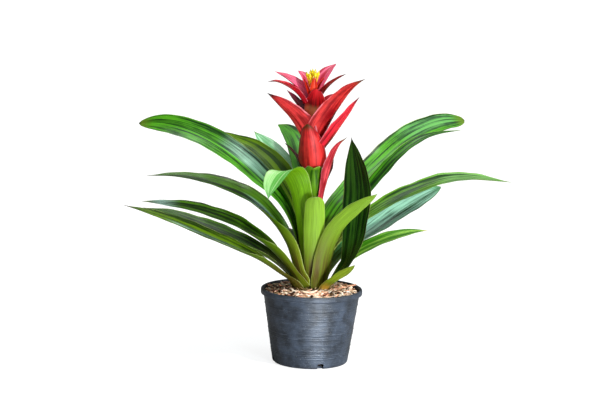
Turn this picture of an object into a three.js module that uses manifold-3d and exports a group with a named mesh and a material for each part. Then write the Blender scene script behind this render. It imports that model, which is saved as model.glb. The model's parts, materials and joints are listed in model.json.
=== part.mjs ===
// A flowering bromeliad (guzmania) in a black plastic nursery pot.
// Millimetres, +Z up. The origin is the middle of the pot's underside, so the pot stands on z = 0.
// -Y is the front of the plant and +X is its right side.
// The pot holds potting mix and a layer of coconut husk. A short thick caudex stands in the mix and
// carries the rosette of leaves, the scape and the head of red bracts with its yellow flowers.
import * as THREE from "three";
import { mergeVertices } from "three/addons/utils/BufferGeometryUtils.js";
import Module from "manifold-3d";

const wasm = await Module();
wasm.setup();

// Driving dimensions of the pot.
const POT_HEIGHT = 110;
const POT_RIM_RADIUS = 75;
const POT_BASE_RADIUS = 55.5;
const POT_NECK_RADIUS = 70.8;
const POT_WALL = 1.6;
const POT_FLOOR = 2;
const RIM_BAND = 8.5;
const RIB_DEPTH = 0.5;
const RIB_HEIGHTS = [12, 24, 36, 48, 60, 72, 84];
const DRAIN_COUNT = 4;
const DRAIN_WIDTH = 9;
const DRAIN_HEIGHT = 8;
const DRAIN_DEPTH = 11;
const FIRST_DRAIN_AZIMUTH = 286;
const ROUND_STEPS = 48;

// What fills the pot.
const GAP = 0.3;
const MIX_TOP = 98;
const MIX_BEVEL = 12;
const HUSK_EDGE = 105.5;
const HUSK_MOUND = 111;
const HUSK_HOLE_RADIUS = 31.5;

// The stem: a caudex sunk in the mix, roots below it and the scape above it.
const CAUDEX_RADIUS = 26.5;
const CAUDEX_BOTTOM = 84.5;
const CAUDEX_SHOULDER = 103;
const CAUDEX_TOP = 127;
const ROOT_COUNT = 6;
const ROOT_RADIUS = 1.8;
const ROOT_BOTTOM = 42;
const ROOT_CIRCLE = 17;
const SCAPE_RADIUS = 5.2;
const SCAPE_TIP_RADIUS = 3.6;
const SCAPE_TOP = 404;
const SCAPE_LEAN = -6;

// The blades: how thick a leaf and a bract are in their middle, and how they taper along their length.
const LEAF_THICKNESS = 1.0;
const BRACT_THICKNESS = 0.9;
const LEAF_OUTLINE = [0.84, 0.8, 0.84, 0.92, 0.98, 1, 0.98, 0.9, 0.74, 0.46, 0];
const BRACT_OUTLINE = [0.3, 0.62, 0.9, 1, 0.96, 0.78, 0.48, 0];
const LEAF_WRAP = 48;
const BRACT_WRAP = 70;
const LEAF_STATIONS = 14;
const BRACT_STATIONS = 7;

// A blade follows the round of the stem up to the first of these shares of its length, and has its
// own trough from the second one on.
const SHEATH_START = 0.06;
const SHEATH_END = 0.3;

const COLOURS = {
  pot: "#3f4a55",
  mix: "#2e2119",
  husk: "#c08a66",
  stem: "#8d8a4a",
  leafDark: "#2f6a23",
  leafMid: "#4f8427",
  leafLight: "#86a839",
  bract: "#cf2b36",
  bractPink: "#d95a72",
  bractDark: "#7c2430",
  flower: "#f2cf1f",
};

// The leaves of the rosette, lowest first. azimuth: which way the leaf grows, in degrees from +X.
// ring: the radius at which its sheath stands round the stem. path: reach from the axis and height
// above the floor along the midrib, with a sideways shift where a third number is given.
// channel: half the angle of its trough, from base to tip. roll: twist about the midrib.
// wrap: half the angle that the sheath may cover round the stem. front: how much further the sheath
// reaches on its front side, as a share of that, with the sign of the side.
const LEAVES = [
  {
    name: "leaf_left_lowest",
    azimuth: 204,
    ring: 26,
    path: [[34, 121], [53, 135], [86, 157], [118, 173], [177, 200], [230, 223], [293, 246]],
    width: 40,
    channel: [52, 50, 40, 32, 26, 20],
    roll: [0, -12, -20, -18, -8],
    front: 0.35,
    colour: COLOURS.leafDark,
  },
  {
    name: "leaf_front_right_short",
    azimuth: 312,
    ring: 26,
    path: [[30, 115], [42, 123], [61, 136], [77, 147], [92, 159]],
    width: 26,
    channel: [40, 38, 36, 34, 30, 26],
    roll: [0, -10, -20, -20],
    colour: COLOURS.leafMid,
  },
  {
    name: "leaf_back_lowest",
    azimuth: 98,
    ring: 26,
    path: [[34, 120], [56, 137], [90, 156], [130, 168], [168, 168], [200, 158]],
    width: 38,
    channel: [40, 36, 32, 28, 24, 20],
    roll: [0, 0],
    colour: COLOURS.leafDark,
  },
  {
    name: "leaf_left_low_rear",
    azimuth: 166,
    ring: 24.5,
    path: [[32, 124], [50, 141], [84, 160], [111, 172], [166, 191], [220, 207], [265, 214]],
    width: 38,
    channel: [52, 48, 38, 30, 24, 20],
    roll: [0, -8, -16, -12, -4],
    front: 0.6,
    colour: COLOURS.leafDark,
  },
  {
    name: "leaf_right_lowest",
    azimuth: 10,
    ring: 24.5,
    path: [[33, 122], [49, 143], [68, 160], [107, 180], [143, 191], [174, 195]],
    width: 30,
    channel: [42, 36, 32, 28, 24, 20],
    roll: [0, 5, 12, 10],
    colour: COLOURS.leafMid,
  },
  {
    name: "leaf_right_upright",
    azimuth: 340,
    ring: 23,
    wrap: 24,
    path: [[29, 123], [42, 134], [54, 150], [60, 176], [63, 202], [65, 230], [66, 252], [64, 278], [60, 306], [55, 338]],
    width: 41,
    outline: [0.75, 0.68, 0.7, 0.82, 0.94, 1.02, 1.08, 1.04, 0.84, 0.48, 0],
    channel: [40, 32, 22, 18, 16, 16],
    roll: [0, 34, 62, 68, 70, 70],
    colour: COLOURS.leafDark,
  },
  {
    name: "leaf_back_right_low",
    azimuth: 70,
    ring: 23,
    wrap: 40,
    path: [[32, 126], [52, 146], [88, 166], [132, 180], [178, 184], [216, 176]],
    width: 38,
    channel: [42, 36, 32, 28, 24, 20],
    roll: [0, 0],
    colour: COLOURS.leafDark,
  },
  {
    name: "leaf_left_low_front",
    azimuth: 194,
    ring: 21.5,
    path: [[31, 130], [46, 151], [73, 178], [121, 209], [183, 231], [256, 243]],
    width: 40,
    channel: [60, 58, 44, 32, 26, 22],
    roll: [0, -16, -22, -18, -10],
    front: 0.7,
    colour: COLOURS.leafDark,
  },
  {
    name: "leaf_right_low",
    azimuth: 32,
    ring: 21.5,
    wrap: 28,
    path: [[26, 130], [45, 152], [73, 172], [114, 195], [158, 219], [203, 239], [230, 248]],
    width: 42,
    outline: [0.84, 0.78, 0.82, 0.92, 1, 1, 1, 0.98, 0.9, 0.68, 0],
    channel: [44, 38, 32, 28, 24, 20],
    roll: [0, 2, 16, 24, 20],
    colour: COLOURS.leafDark,
  },
  {
    name: "leaf_front_right_sweeping",
    azimuth: 308,
    ring: 20,
    wrap: 42,
    path: [[23, 126], [27, 142], [31, 160], [40, 184], [58, 210], [84, 232], [112, 250], [146, 270]],
    width: 40,
    outline: [0.84, 0.84, 0.86, 0.82, 0.76, 0.7, 0.64, 0.58, 0.46, 0.28, 0],
    channel: [50, 46, 38, 32, 26, 20],
    roll: [0, -8, -24, -32, -30],
    colour: COLOURS.leafLight,
  },
  {
    name: "leaf_back_middle",
    azimuth: 97,
    ring: 20,
    wrap: 42,
    path: [[23, 134], [38, 160], [60, 186], [98, 208], [142, 216], [188, 208], [222, 192]],
    width: 40,
    channel: [44, 38, 32, 28, 24, 20],
    roll: [0, 0],
    colour: COLOURS.leafDark,
  },
  {
    name: "leaf_left_middle",
    azimuth: 186,
    ring: 20,
    wrap: 42,
    path: [[26, 132], [31, 154], [40, 180], [65, 217], [97, 244], [130, 259], [187, 273], [246, 275]],
    width: 42,
    channel: [64, 64, 50, 34, 26, 22],
    roll: [0, -20, -26, -14, 0],
    front: 0.9,
    colour: COLOURS.leafMid,
  },
  {
    name: "leaf_back_high",
    azimuth: 92,
    ring: 15.5,
    wrap: 26,
    path: [[17, 155], [24, 184], [46, 214], [92, 244], [140, 256], [190, 242]],
    width: 34,
    channel: [44, 38, 32, 28, 24, 20],
    roll: [0, 0],
    colour: COLOURS.leafMid,
  },
  {
    name: "leaf_right_long",
    azimuth: 14,
    ring: 18.5,
    wrap: 28,
    path: [[21, 146], [34, 171], [56, 194], [101, 226], [156, 253], [218, 270], [302, 264]],
    width: 40,
    channel: [44, 42, 36, 30, 26, 22],
    roll: [0, 6, 14, 12, 4],
    colour: COLOURS.leafMid,
  },
  {
    name: "leaf_front_middle",
    azimuth: 272,
    ring: 17,
    wrap: 40,
    path: [[18.5, 140], [22, 160], [29, 185], [35, 205], [41, 224], [45, 240], [50, 251], [57, 254]],
    width: 32,
    outline: [0.9, 0.88, 0.86, 0.88, 0.92, 0.96, 1, 1, 0.96, 0.82, 0],
    channel: [48, 42, 36, 32, 30, 30],
    roll: [0, 0],
    colour: COLOURS.leafLight,
  },
  {
    name: "leaf_left_high_rear",
    azimuth: 134,
    ring: 12.6,
    wrap: 46,
    path: [[14, 168], [20, 200], [36, 236], [64, 266], [90, 286], [130, 303], [172, 312], [212, 324]],
    width: 30,
    channel: [48, 42, 36, 30, 26, 22],
    roll: [0, 0],
    colour: COLOURS.leafMid,
  },
  {
    name: "leaf_right_high_front",
    azimuth: 18,
    ring: 17,
    path: [[18.5, 150], [25, 176], [43, 200], [62, 223], [96, 266], [132, 305], [172, 331], [232, 342]],
    width: 30,
    channel: [48, 42, 34, 30, 26, 22],
    roll: [0, 4, 12, 12, 6],
    colour: COLOURS.leafMid,
  },
  {
    name: "leaf_left_high",
    azimuth: 160,
    ring: 17,
    wrap: 30,
    path: [[20.5, 160], [29, 198], [48, 234], [87, 269], [139, 306], [198, 331], [248, 339], [284, 337]],
    width: 46,
    outline: [0.76, 0.72, 0.74, 0.86, 0.96, 1, 1, 0.96, 0.84, 0.66, 0.3],
    channel: [48, 40, 32, 28, 24, 20],
    roll: [0, -10, -28, -40, -62],
    colour: COLOURS.leafMid,
  },
  {
    name: "leaf_front_left_folded",
    azimuth: 237,
    ring: 15.5,
    wrap: 42,
    path: [[18, 160, 1], [25, 200, 2], [33, 240, 1], [43, 276, -2], [57, 294, -5], [78, 292, -9], [93, 272, -13], [100, 252, -13]],
    width: 36,
    outline: [0.7, 0.62, 0.6, 0.68, 0.8, 0.9, 1, 1.2, 1.3, 0.86, 0],
    channel: [48, 42, 34, 26, 14, 16],
    roll: [0, 6, 14, 12, 0],
    colour: COLOURS.leafLight,
  },
  {
    name: "leaf_back_right_middle",
    azimuth: 66,
    ring: 18.5,
    wrap: 23,
    path: [[20.5, 150], [31, 172], [50, 190], [86, 206], [130, 210], [170, 198]],
    width: 34,
    channel: [48, 40, 32, 28, 24, 20],
    roll: [0, 0],
    colour: COLOURS.leafMid,
  },
  {
    name: "leaf_right_high",
    azimuth: 45,
    ring: 14,
    wrap: 40,
    path: [[16, 164], [27, 200], [46, 224], [76, 247], [138, 286], [200, 319], [270, 337], [336, 340]],
    width: 44,
    outline: [0.8, 0.76, 0.82, 0.92, 0.98, 1, 1, 0.98, 0.9, 0.72, 0.42],
    channel: [52, 42, 32, 28, 24, 20],
    roll: [0, 2, 14, 28, 50],
    colour: COLOURS.leafMid,
  },
  {
    name: "leaf_back_left_pale",
    azimuth: 115,
    ring: 14,
    wrap: 17,
    path: [[15, 165], [19, 190], [30, 214], [53, 238], [87, 266], [129, 288], [180, 304], [229, 318]],
    width: 22,
    channel: [52, 42, 34, 28, 24, 20],
    roll: [0, 0],
    colour: COLOURS.leafLight,
  },
  {
    name: "leaf_back_left_high",
    azimuth: 105,
    ring: 11.2,
    path: [[12.4, 172], [23, 222], [52, 270], [92, 304], [136, 322], [178, 329], [208, 330]],
    width: 40,
    outline: [0.84, 0.8, 0.84, 0.92, 0.98, 1, 1, 0.96, 0.86, 0.66, 0.3],
    channel: [54, 42, 34, 28, 24, 20],
    roll: [0, 0],
    colour: COLOURS.leafDark,
  },
];

// The bracts, lowest first. path: reach from the scape and height above the floor.
// keel: how sharply the midrib stands out behind the blade.
const BRACTS = [
  {
    name: "bract_green_front",
    azimuth: 268,
    path: [[6, 238], [9, 248], [13, 262], [16, 277], [20, 289], [26, 291]],
    width: 32,
    outline: [0.3, 0.7, 0.95, 1, 1, 0.92, 0.7, 0],
    channel: [60, 62, 60, 56, 50],
    colour: COLOURS.leafLight,
  },
  {
    name: "bract_right_lower",
    azimuth: 328,
    path: [[6, 222], [14, 238], [19, 258], [25, 282], [33, 308], [43, 326], [57, 339]],
    width: 26,
    outline: [0.3, 0.5, 0.64, 0.84, 0.96, 0.8, 0.5, 0],
    channel: [60, 50, 40, 34, 30],
    colour: COLOURS.bract,
  },
  {
    name: "bract_left_lower",
    azimuth: 167,
    path: [[6, 244], [11, 262], [17, 283], [24, 300], [34, 313], [45, 324]],
    width: 20,
    channel: [60, 50, 40, 30, 26],
    colour: COLOURS.bractDark,
  },
  {
    name: "bract_right_rear_lower",
    azimuth: 42,
    path: [[6, 236], [13, 252], [24, 268], [34, 286], [40, 306]],
    width: 20,
    channel: [60, 50, 40, 30, 26],
    colour: COLOURS.bractDark,
  },
  {
    name: "bract_back_lower",
    azimuth: 79,
    path: [[6, 266], [12, 284], [21, 304], [33, 321], [47, 331]],
    width: 26,
    channel: [60, 50, 40, 32, 28],
    colour: COLOURS.bractDark,
  },
  {
    name: "bract_front_large",
    azimuth: 264,
    path: [[6, 272], [11, 279], [16, 290], [21, 310], [25, 334], [25, 358]],
    width: 50,
    channel: [60, 62, 62, 58, 50],
    outline: [0.3, 0.72, 0.94, 1, 0.92, 0.74, 0.44, 0],
    colour: COLOURS.bract,
  },
  {
    name: "bract_right_long_lower",
    azimuth: 342,
    path: [[6, 296], [12, 313], [24, 336], [37, 357], [48, 375], [58, 387], [69, 395]],
    width: 30,
    channel: [60, 52, 42, 34, 28],
    colour: COLOURS.bract,
  },
  {
    name: "bract_back_left_lower",
    azimuth: 136,
    path: [[6, 300], [12, 320], [24, 342], [40, 358], [58, 368]],
    width: 30,
    channel: [60, 52, 42, 34, 28],
    colour: COLOURS.bract,
  },
  {
    name: "bract_back_right_lower",
    azimuth: 62,
    path: [[6, 309], [13, 329], [24, 350], [38, 367], [53, 378]],
    width: 30,
    channel: [60, 52, 42, 34, 28],
    colour: COLOURS.bract,
  },
  {
    name: "bract_left_keeled",
    azimuth: 207,
    path: [[6, 306], [12, 324], [21, 345], [36, 366], [54, 382], [76, 400]],
    width: 53,
    channel: [60, 54, 46, 36, 28],
    keel: 0.3,
    colour: COLOURS.bract,
  },
  {
    name: "bract_right_long_upper",
    azimuth: 322,
    path: [[6, 314], [13, 336], [25, 362], [40, 383], [56, 400], [72, 413], [92, 425]],
    width: 46,
    channel: [60, 54, 44, 34, 26],
    colour: COLOURS.bract,
  },
  {
    name: "bract_back_middle",
    azimuth: 98,
    path: [[6, 330], [12, 350], [24, 370], [40, 386], [58, 396]],
    width: 30,
    channel: [60, 52, 42, 34, 28],
    colour: COLOURS.bract,
  },
  {
    name: "bract_left_shaded",
    azimuth: 164,
    path: [[6, 340], [11, 356], [20, 374], [31, 388], [41, 401]],
    width: 34,
    channel: [60, 52, 42, 34, 28],
    colour: COLOURS.bractDark,
  },
  {
    name: "bract_right_rear_upper",
    azimuth: 32,
    path: [[6, 346], [12, 363], [22, 380], [32, 391], [41, 397]],
    width: 28,
    channel: [60, 52, 42, 34, 28],
    colour: COLOURS.bract,
  },
  {
    name: "bract_front_upper",
    azimuth: 270,
    path: [[6, 352], [12, 361], [16, 374], [17, 390], [14, 405]],
    width: 30,
    channel: [60, 60, 58, 52, 44],
    outline: [0.3, 0.7, 0.94, 1, 0.94, 0.76, 0.46, 0],
    colour: COLOURS.bract,
  },
  {
    name: "bract_left_flat",
    azimuth: 184,
    path: [[6, 360], [12, 379], [23, 396], [38, 407], [53, 413], [67, 413]],
    width: 24,
    channel: [60, 52, 42, 32, 26],
    colour: COLOURS.bract,
  },
  {
    name: "bract_right_top",
    azimuth: 348,
    path: [[6, 366], [10, 386], [18, 402], [31, 416], [49, 428]],
    width: 22,
    channel: [60, 52, 42, 32, 26],
    colour: COLOURS.bract,
  },
  {
    name: "bract_back_left_pink",
    azimuth: 142,
    path: [[6, 372], [11, 388], [24, 402], [45, 414], [73, 425]],
    width: 30,
    channel: [60, 52, 42, 32, 26],
    colour: COLOURS.bractPink,
  },
  {
    name: "bract_back_right_pink",
    azimuth: 49,
    path: [[6, 378], [10, 394], [19, 412], [33, 427], [52, 439]],
    width: 29,
    channel: [60, 52, 42, 32, 26],
    colour: COLOURS.bractPink,
  },
  {
    name: "bract_top_left_pink",
    azimuth: 118,
    path: [[5, 384], [9, 398], [18, 412], [32, 422], [47, 427]],
    width: 20,
    channel: [60, 52, 42, 32, 26],
    colour: COLOURS.bractPink,
  },
  {
    name: "bract_inner_front",
    azimuth: 280,
    wrap: 50,
    path: [[5, 386], [8.5, 396], [11, 408], [13, 422]],
    width: 13,
    channel: [60, 52, 42, 36, 30],
    colour: COLOURS.bract,
  },
  {
    name: "bract_inner_left",
    azimuth: 205,
    wrap: 50,
    path: [[5, 391], [8.5, 400], [12, 411], [16, 421]],
    width: 12,
    channel: [60, 52, 42, 36, 30],
    colour: COLOURS.bract,
  },
  {
    name: "bract_inner_right",
    azimuth: 350,
    wrap: 50,
    path: [[5, 396], [8.5, 404], [12.5, 413], [18, 422]],
    width: 12,
    channel: [60, 52, 42, 36, 30],
    colour: COLOURS.bract,
  },
];

// The flowers: azimuth and reach of the open end from the top of the scape, its height, and lean.
const FLOWERS = [
  { name: "flower_middle", azimuth: 0, foot: 0, reach: 0, top: 433 },
  { name: "flower_front_left", azimuth: 235, foot: 4.2, reach: 8, top: 427 },
  { name: "flower_front_right", azimuth: 300, foot: 4.2, reach: 8, top: 429 },
  { name: "flower_right", azimuth: 355, foot: 4.2, reach: 9, top: 430 },
  { name: "flower_back_right", azimuth: 60, foot: 4.2, reach: 8, top: 432 },
  { name: "flower_back_left", azimuth: 115, foot: 4.2, reach: 8, top: 431 },
  { name: "flower_left", azimuth: 175, foot: 4.2, reach: 9, top: 428 },
];
const FLOWER_TUBE_RADIUS = 1.5;
const FLOWER_HEAD_RADIUS = 2.2;
const FLOWER_FOOT = 406;

const radians = THREE.MathUtils.degToRad;

// A value between evenly spaced ones, on a smooth curve through them.
function valueAlong(values, t) {
  const place = Math.min(Math.max(t, 0), 1) * (values.length - 1);
  const i = Math.min(Math.floor(place), values.length - 2);
  const f = place - i;
  const before = values[Math.max(i - 1, 0)];
  const here = values[i];
  const next = values[i + 1];
  const after = values[Math.min(i + 2, values.length - 1)];
  const slopeHere = (next - before) / 2;
  const slopeNext = (after - here) / 2;
  const f2 = f * f;
  const f3 = f2 * f;
  return (
    (2 * f3 - 3 * f2 + 1) * here +
    (f3 - 2 * f2 + f) * slopeHere +
    (3 * f2 - 2 * f3) * next +
    (f3 - f2) * slopeNext
  );
}

// The sideways place of the leaning scape at a height.
function scapeOffset(height) {
  const t = Math.max(0, (height - CAUDEX_TOP) / (SCAPE_TOP - CAUDEX_TOP));
  return SCAPE_LEAN * Math.pow(t, 1.3);
}

// A triangle mesh from points and faces, turned so that its faces point outwards.
function closedGeometry(points, faces) {
  let volume = 0;
  for (const [a, b, c] of faces) {
    volume += points[a].dot(points[b].clone().cross(points[c]));
  }
  const positions = [];
  for (const point of points) {
    positions.push(point.x, point.y, point.z);
  }
  const index = [];
  for (const [a, b, c] of faces) {
    index.push(a, volume < 0 ? c : b, volume < 0 ? b : c);
  }
  const geometry = new THREE.BufferGeometry();
  geometry.setAttribute("position", new THREE.Float32BufferAttribute(positions, 3));
  geometry.setIndex(index);
  geometry.computeVertexNormals();
  return geometry;
}

// A leaf or a bract: a thin lens-shaped section carried along its midrib, troughed towards the plant.
function bladeGeometry(blade) {
  const azimuth = radians(blade.azimuth);
  const outward = new THREE.Vector3(Math.cos(azimuth), Math.sin(azimuth), 0);
  const across = new THREE.Vector3(-Math.sin(azimuth), Math.cos(azimuth), 0);
  const midrib = new THREE.CatmullRomCurve3(
    blade.path.map(([reach, height, shift = 0]) =>
      outward
        .clone()
        .multiplyScalar(reach)
        .addScaledVector(across, shift)
        .add(new THREE.Vector3(blade.offset, 0, height)),
    ),
    false,
    "centripetal",
  );
  const half = blade.width / 2;
  const sides = [-1, -0.5, 0, 0.5, 1];
  const points = [];
  const faces = [];
  const rings = blade.stations;
  for (let i = 0; i < rings; i++) {
    const t = (i / rings) * (1 - 0.35 / rings) + (0.35 / rings) * Math.pow(i / rings, 3);
    const centre = midrib.getPointAt(t);
    const along = midrib.getTangentAt(t);
    const wide = across.clone().addScaledVector(along, -across.dot(along)).normalize();
    wide.applyAxisAngle(along, radians(valueAlong(blade.roll, t)));
    const up = along.clone().cross(wide);
    const reach = Math.hypot(centre.x - blade.offset, centre.y);
    const sheath = 1 - THREE.MathUtils.smoothstep(t, SHEATH_START, SHEATH_END);
    const widest = radians(blade.wrap) * reach;
    let halfWidth = half * valueAlong(blade.outline, t);
    halfWidth += (Math.min(halfWidth, widest) - halfWidth) * sheath;
    const open = radians(valueAlong(blade.channel, t));
    const trough = open + (halfWidth / reach - open) * sheath;
    const radius = halfWidth / trough;
    const depth = (blade.thickness / 2) * Math.min(1, valueAlong(blade.outline, t) + 0.35);
    const front = Math.abs(blade.front) * (1 - THREE.MathUtils.smoothstep(t, 0.12, 0.5));
    const lens = (side, offset) => {
      const turn = side * trough * (side * blade.front > 0 ? 1 + front : 1);
      const sideways = (radius - offset) * Math.sin(turn);
      const rise = radius - (radius - offset) * Math.cos(turn);
      const fold = blade.keel * halfWidth * Math.abs(side);
      return centre.clone().addScaledVector(wide, sideways).addScaledVector(up, rise + fold);
    };
    for (const side of sides) {
      points.push(lens(side, depth * (1 - side * side)));
    }
    for (const side of [0.5, 0, -0.5]) {
      points.push(lens(side, -depth * (1 - side * side)));
    }
  }
  // The two sides are split along the same diagonals, so a twisted blade keeps its thickness.
  const ring = 8;
  for (let i = 0; i + 1 < rings; i++) {
    for (let j = 0; j < ring; j++) {
      const a = i * ring + j;
      const b = i * ring + ((j + 1) % ring);
      if (j < ring / 2) {
        faces.push([a, b, a + ring], [b, b + ring, a + ring]);
      } else {
        faces.push([a, b, b + ring], [a, b + ring, a + ring]);
      }
    }
  }
  faces.push([0, 7, 1], [1, 6, 2], [1, 7, 6], [2, 5, 3], [2, 6, 5], [3, 5, 4]);
  const last = (rings - 1) * ring;
  points.push(midrib.getPointAt(1));
  for (let j = 0; j < ring; j++) {
    faces.push([last + j, last + ((j + 1) % ring), rings * ring]);
  }
  return closedGeometry(points, faces);
}

// The height of the caudex's conical top at a radius.
function caudexHeight(radius) {
  const t = (CAUDEX_RADIUS - radius) / (CAUDEX_RADIUS - SCAPE_RADIUS);
  return CAUDEX_SHOULDER + t * (CAUDEX_TOP - CAUDEX_SHOULDER);
}

// A leaf starts just above the caudex, at the radius of its ring.
function leafGeometry(leaf) {
  const foot = [leaf.ring, caudexHeight(leaf.ring - LEAF_THICKNESS) + GAP];
  return bladeGeometry({
    keel: 0,
    front: 0,
    wrap: LEAF_WRAP,
    outline: LEAF_OUTLINE,
    offset: 0,
    thickness: LEAF_THICKNESS,
    stations: LEAF_STATIONS,
    ...leaf,
    path: [foot, ...leaf.path],
  });
}

// A bract starts just off the scape, at the height of its foot.
function bractGeometry(bract) {
  return bladeGeometry({
    keel: 0.08,
    front: 0,
    wrap: BRACT_WRAP,
    outline: BRACT_OUTLINE,
    offset: scapeOffset(bract.path[0][1]),
    thickness: BRACT_THICKNESS,
    stations: BRACT_STATIONS,
    roll: [0, 0],
    ...bract,
  });
}

// A body turned round the vertical axis, from its profile of radius and height.
function turned(profile, steps = ROUND_STEPS) {
  const geometry = new THREE.LatheGeometry(
    profile.map(([radius, height]) => new THREE.Vector2(radius, height)),
    steps,
  );
  return geometry.rotateX(Math.PI / 2);
}

// A geometry as a solid that can be cut and joined.
function solid(geometry) {
  const bare = geometry.index ? geometry.toNonIndexed() : geometry.clone();
  bare.deleteAttribute("normal");
  bare.deleteAttribute("uv");
  const merged = mergeVertices(bare, 1e-3);
  return new wasm.Manifold(
    new wasm.Mesh({
      numProp: 3,
      vertProperties: new Float32Array(merged.attributes.position.array),
      triVerts: new Uint32Array(merged.index.array),
    }),
  );
}

// A cut or joined solid as a geometry again.
function fromSolid(body) {
  const mesh = body.getMesh();
  const geometry = new THREE.BufferGeometry();
  geometry.setAttribute("position", new THREE.BufferAttribute(mesh.vertProperties, 3));
  geometry.setIndex(new THREE.BufferAttribute(mesh.triVerts, 1));
  geometry.computeVertexNormals();
  return geometry;
}

function wallRadius(height) {
  const t = height / (POT_HEIGHT - RIM_BAND);
  return POT_BASE_RADIUS + (POT_NECK_RADIUS - POT_BASE_RADIUS) * t;
}

function innerRadius(height) {
  return wallRadius(height) - POT_WALL;
}

// The pot: a tapered wall with fine steps, a rolled rim, a flat floor and drain notches at its foot.
function potGeometry() {
  const neck = POT_HEIGHT - RIM_BAND;
  const profile = [
    [0, 0],
    [POT_BASE_RADIUS - 2, 0],
    [POT_BASE_RADIUS - 0.5, 0.6],
    [wallRadius(2.2), 2.2],
  ];
  for (const height of RIB_HEIGHTS) {
    profile.push([wallRadius(height - 0.6), height - 0.6]);
    profile.push([wallRadius(height) + RIB_DEPTH, height]);
    profile.push([wallRadius(height + 1.4), height + 1.4]);
  }
  profile.push(
    [wallRadius(neck - 0.4), neck - 0.4],
    [POT_RIM_RADIUS - 0.9, neck],
    [POT_RIM_RADIUS, neck + 1],
    [POT_RIM_RADIUS, POT_HEIGHT - 2],
    [POT_RIM_RADIUS - 0.8, POT_HEIGHT - 0.5],
    [POT_RIM_RADIUS - 2.2, POT_HEIGHT],
    [POT_NECK_RADIUS + 0.6, POT_HEIGHT - 0.6],
    [POT_NECK_RADIUS - POT_WALL + 0.6, POT_HEIGHT - 3],
    [innerRadius(neck), neck],
    [innerRadius(POT_FLOOR), POT_FLOOR],
    [0, POT_FLOOR],
  );
  let body = solid(turned(profile));
  for (let i = 0; i < DRAIN_COUNT; i++) {
    const notch = new THREE.BoxGeometry(DRAIN_DEPTH, DRAIN_WIDTH, DRAIN_HEIGHT * 2);
    notch.translate(POT_BASE_RADIUS - 1, 0, 0);
    notch.rotateZ(radians(FIRST_DRAIN_AZIMUTH + (i * 360) / DRAIN_COUNT));
    body = body.subtract(solid(notch));
  }
  return fromSolid(body);
}

// The roots: straight tapered stubs below the caudex, made thicker to cut their channels.
function addRoots(body, extra) {
  let joined = body;
  for (let i = 0; i < ROOT_COUNT; i++) {
    const length = CAUDEX_BOTTOM + 1 - ROOT_BOTTOM + extra;
    const root = new THREE.CylinderGeometry(ROOT_RADIUS + extra, ROOT_RADIUS * 0.5 + extra, length, 10);
    root.rotateX(Math.PI / 2);
    const turn = radians((i * 360) / ROOT_COUNT);
    root.translate(
      ROOT_CIRCLE * Math.cos(turn),
      ROOT_CIRCLE * Math.sin(turn),
      ROOT_BOTTOM - extra + length / 2,
    );
    joined = joined.add(solid(root));
  }
  return joined;
}

// The stem: caudex, roots and the leaning scape with its slightly thicker nodes.
function stemGeometry() {
  const caudex = turned(
    [
      [0, CAUDEX_BOTTOM],
      [CAUDEX_RADIUS - 2, CAUDEX_BOTTOM],
      [CAUDEX_RADIUS, CAUDEX_BOTTOM + 2],
      [CAUDEX_RADIUS, CAUDEX_SHOULDER],
      [SCAPE_RADIUS, CAUDEX_TOP],
      [0, CAUDEX_TOP],
    ],
    36,
  );
  const points = [];
  const faces = [];
  const steps = 16;
  const around = 12;
  for (let i = 0; i <= steps; i++) {
    const height = CAUDEX_TOP - 4 + ((SCAPE_TOP - CAUDEX_TOP + 4) * i) / steps;
    const radius = SCAPE_RADIUS + ((SCAPE_TIP_RADIUS - SCAPE_RADIUS) * i) / steps - 0.05;
    for (let j = 0; j < around; j++) {
      const turn = (j * 2 * Math.PI) / around;
      points.push(
        new THREE.Vector3(
          scapeOffset(height) + radius * Math.cos(turn),
          radius * Math.sin(turn),
          height,
        ),
      );
    }
  }
  for (let i = 0; i < steps; i++) {
    for (let j = 0; j < around; j++) {
      const a = i * around + j;
      const b = i * around + ((j + 1) % around);
      faces.push([a, b, b + around], [a, b + around, a + around]);
    }
  }
  const bottom = points.length;
  points.push(new THREE.Vector3(0, 0, CAUDEX_TOP - 4));
  points.push(new THREE.Vector3(scapeOffset(SCAPE_TOP), 0, SCAPE_TOP + 1));
  for (let j = 0; j < around; j++) {
    const next = (j + 1) % around;
    faces.push([bottom, next, j]);
    faces.push([bottom + 1, steps * around + j, steps * around + next]);
  }
  const scape = closedGeometry(points, faces);
  return fromSolid(addRoots(solid(caudex).add(solid(scape)), 0));
}

// The potting mix: fills the pot up to the husk, with a socket for the caudex and its roots.
function mixGeometry() {
  const bottom = POT_FLOOR + GAP;
  const body = turned([
    [0, bottom],
    [innerRadius(bottom) - MIX_BEVEL, bottom],
    [innerRadius(bottom + MIX_BEVEL) - GAP, bottom + MIX_BEVEL],
    [innerRadius(MIX_TOP) - GAP, MIX_TOP],
    [0, MIX_TOP],
  ]);
  const socket = turned(
    [
      [0, CAUDEX_BOTTOM - GAP],
      [CAUDEX_RADIUS + GAP, CAUDEX_BOTTOM - GAP],
      [CAUDEX_RADIUS + GAP, MIX_TOP + 5],
      [0, MIX_TOP + 5],
    ],
    36,
  );
  return fromSolid(solid(body).subtract(addRoots(solid(socket), GAP)));
}

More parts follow.
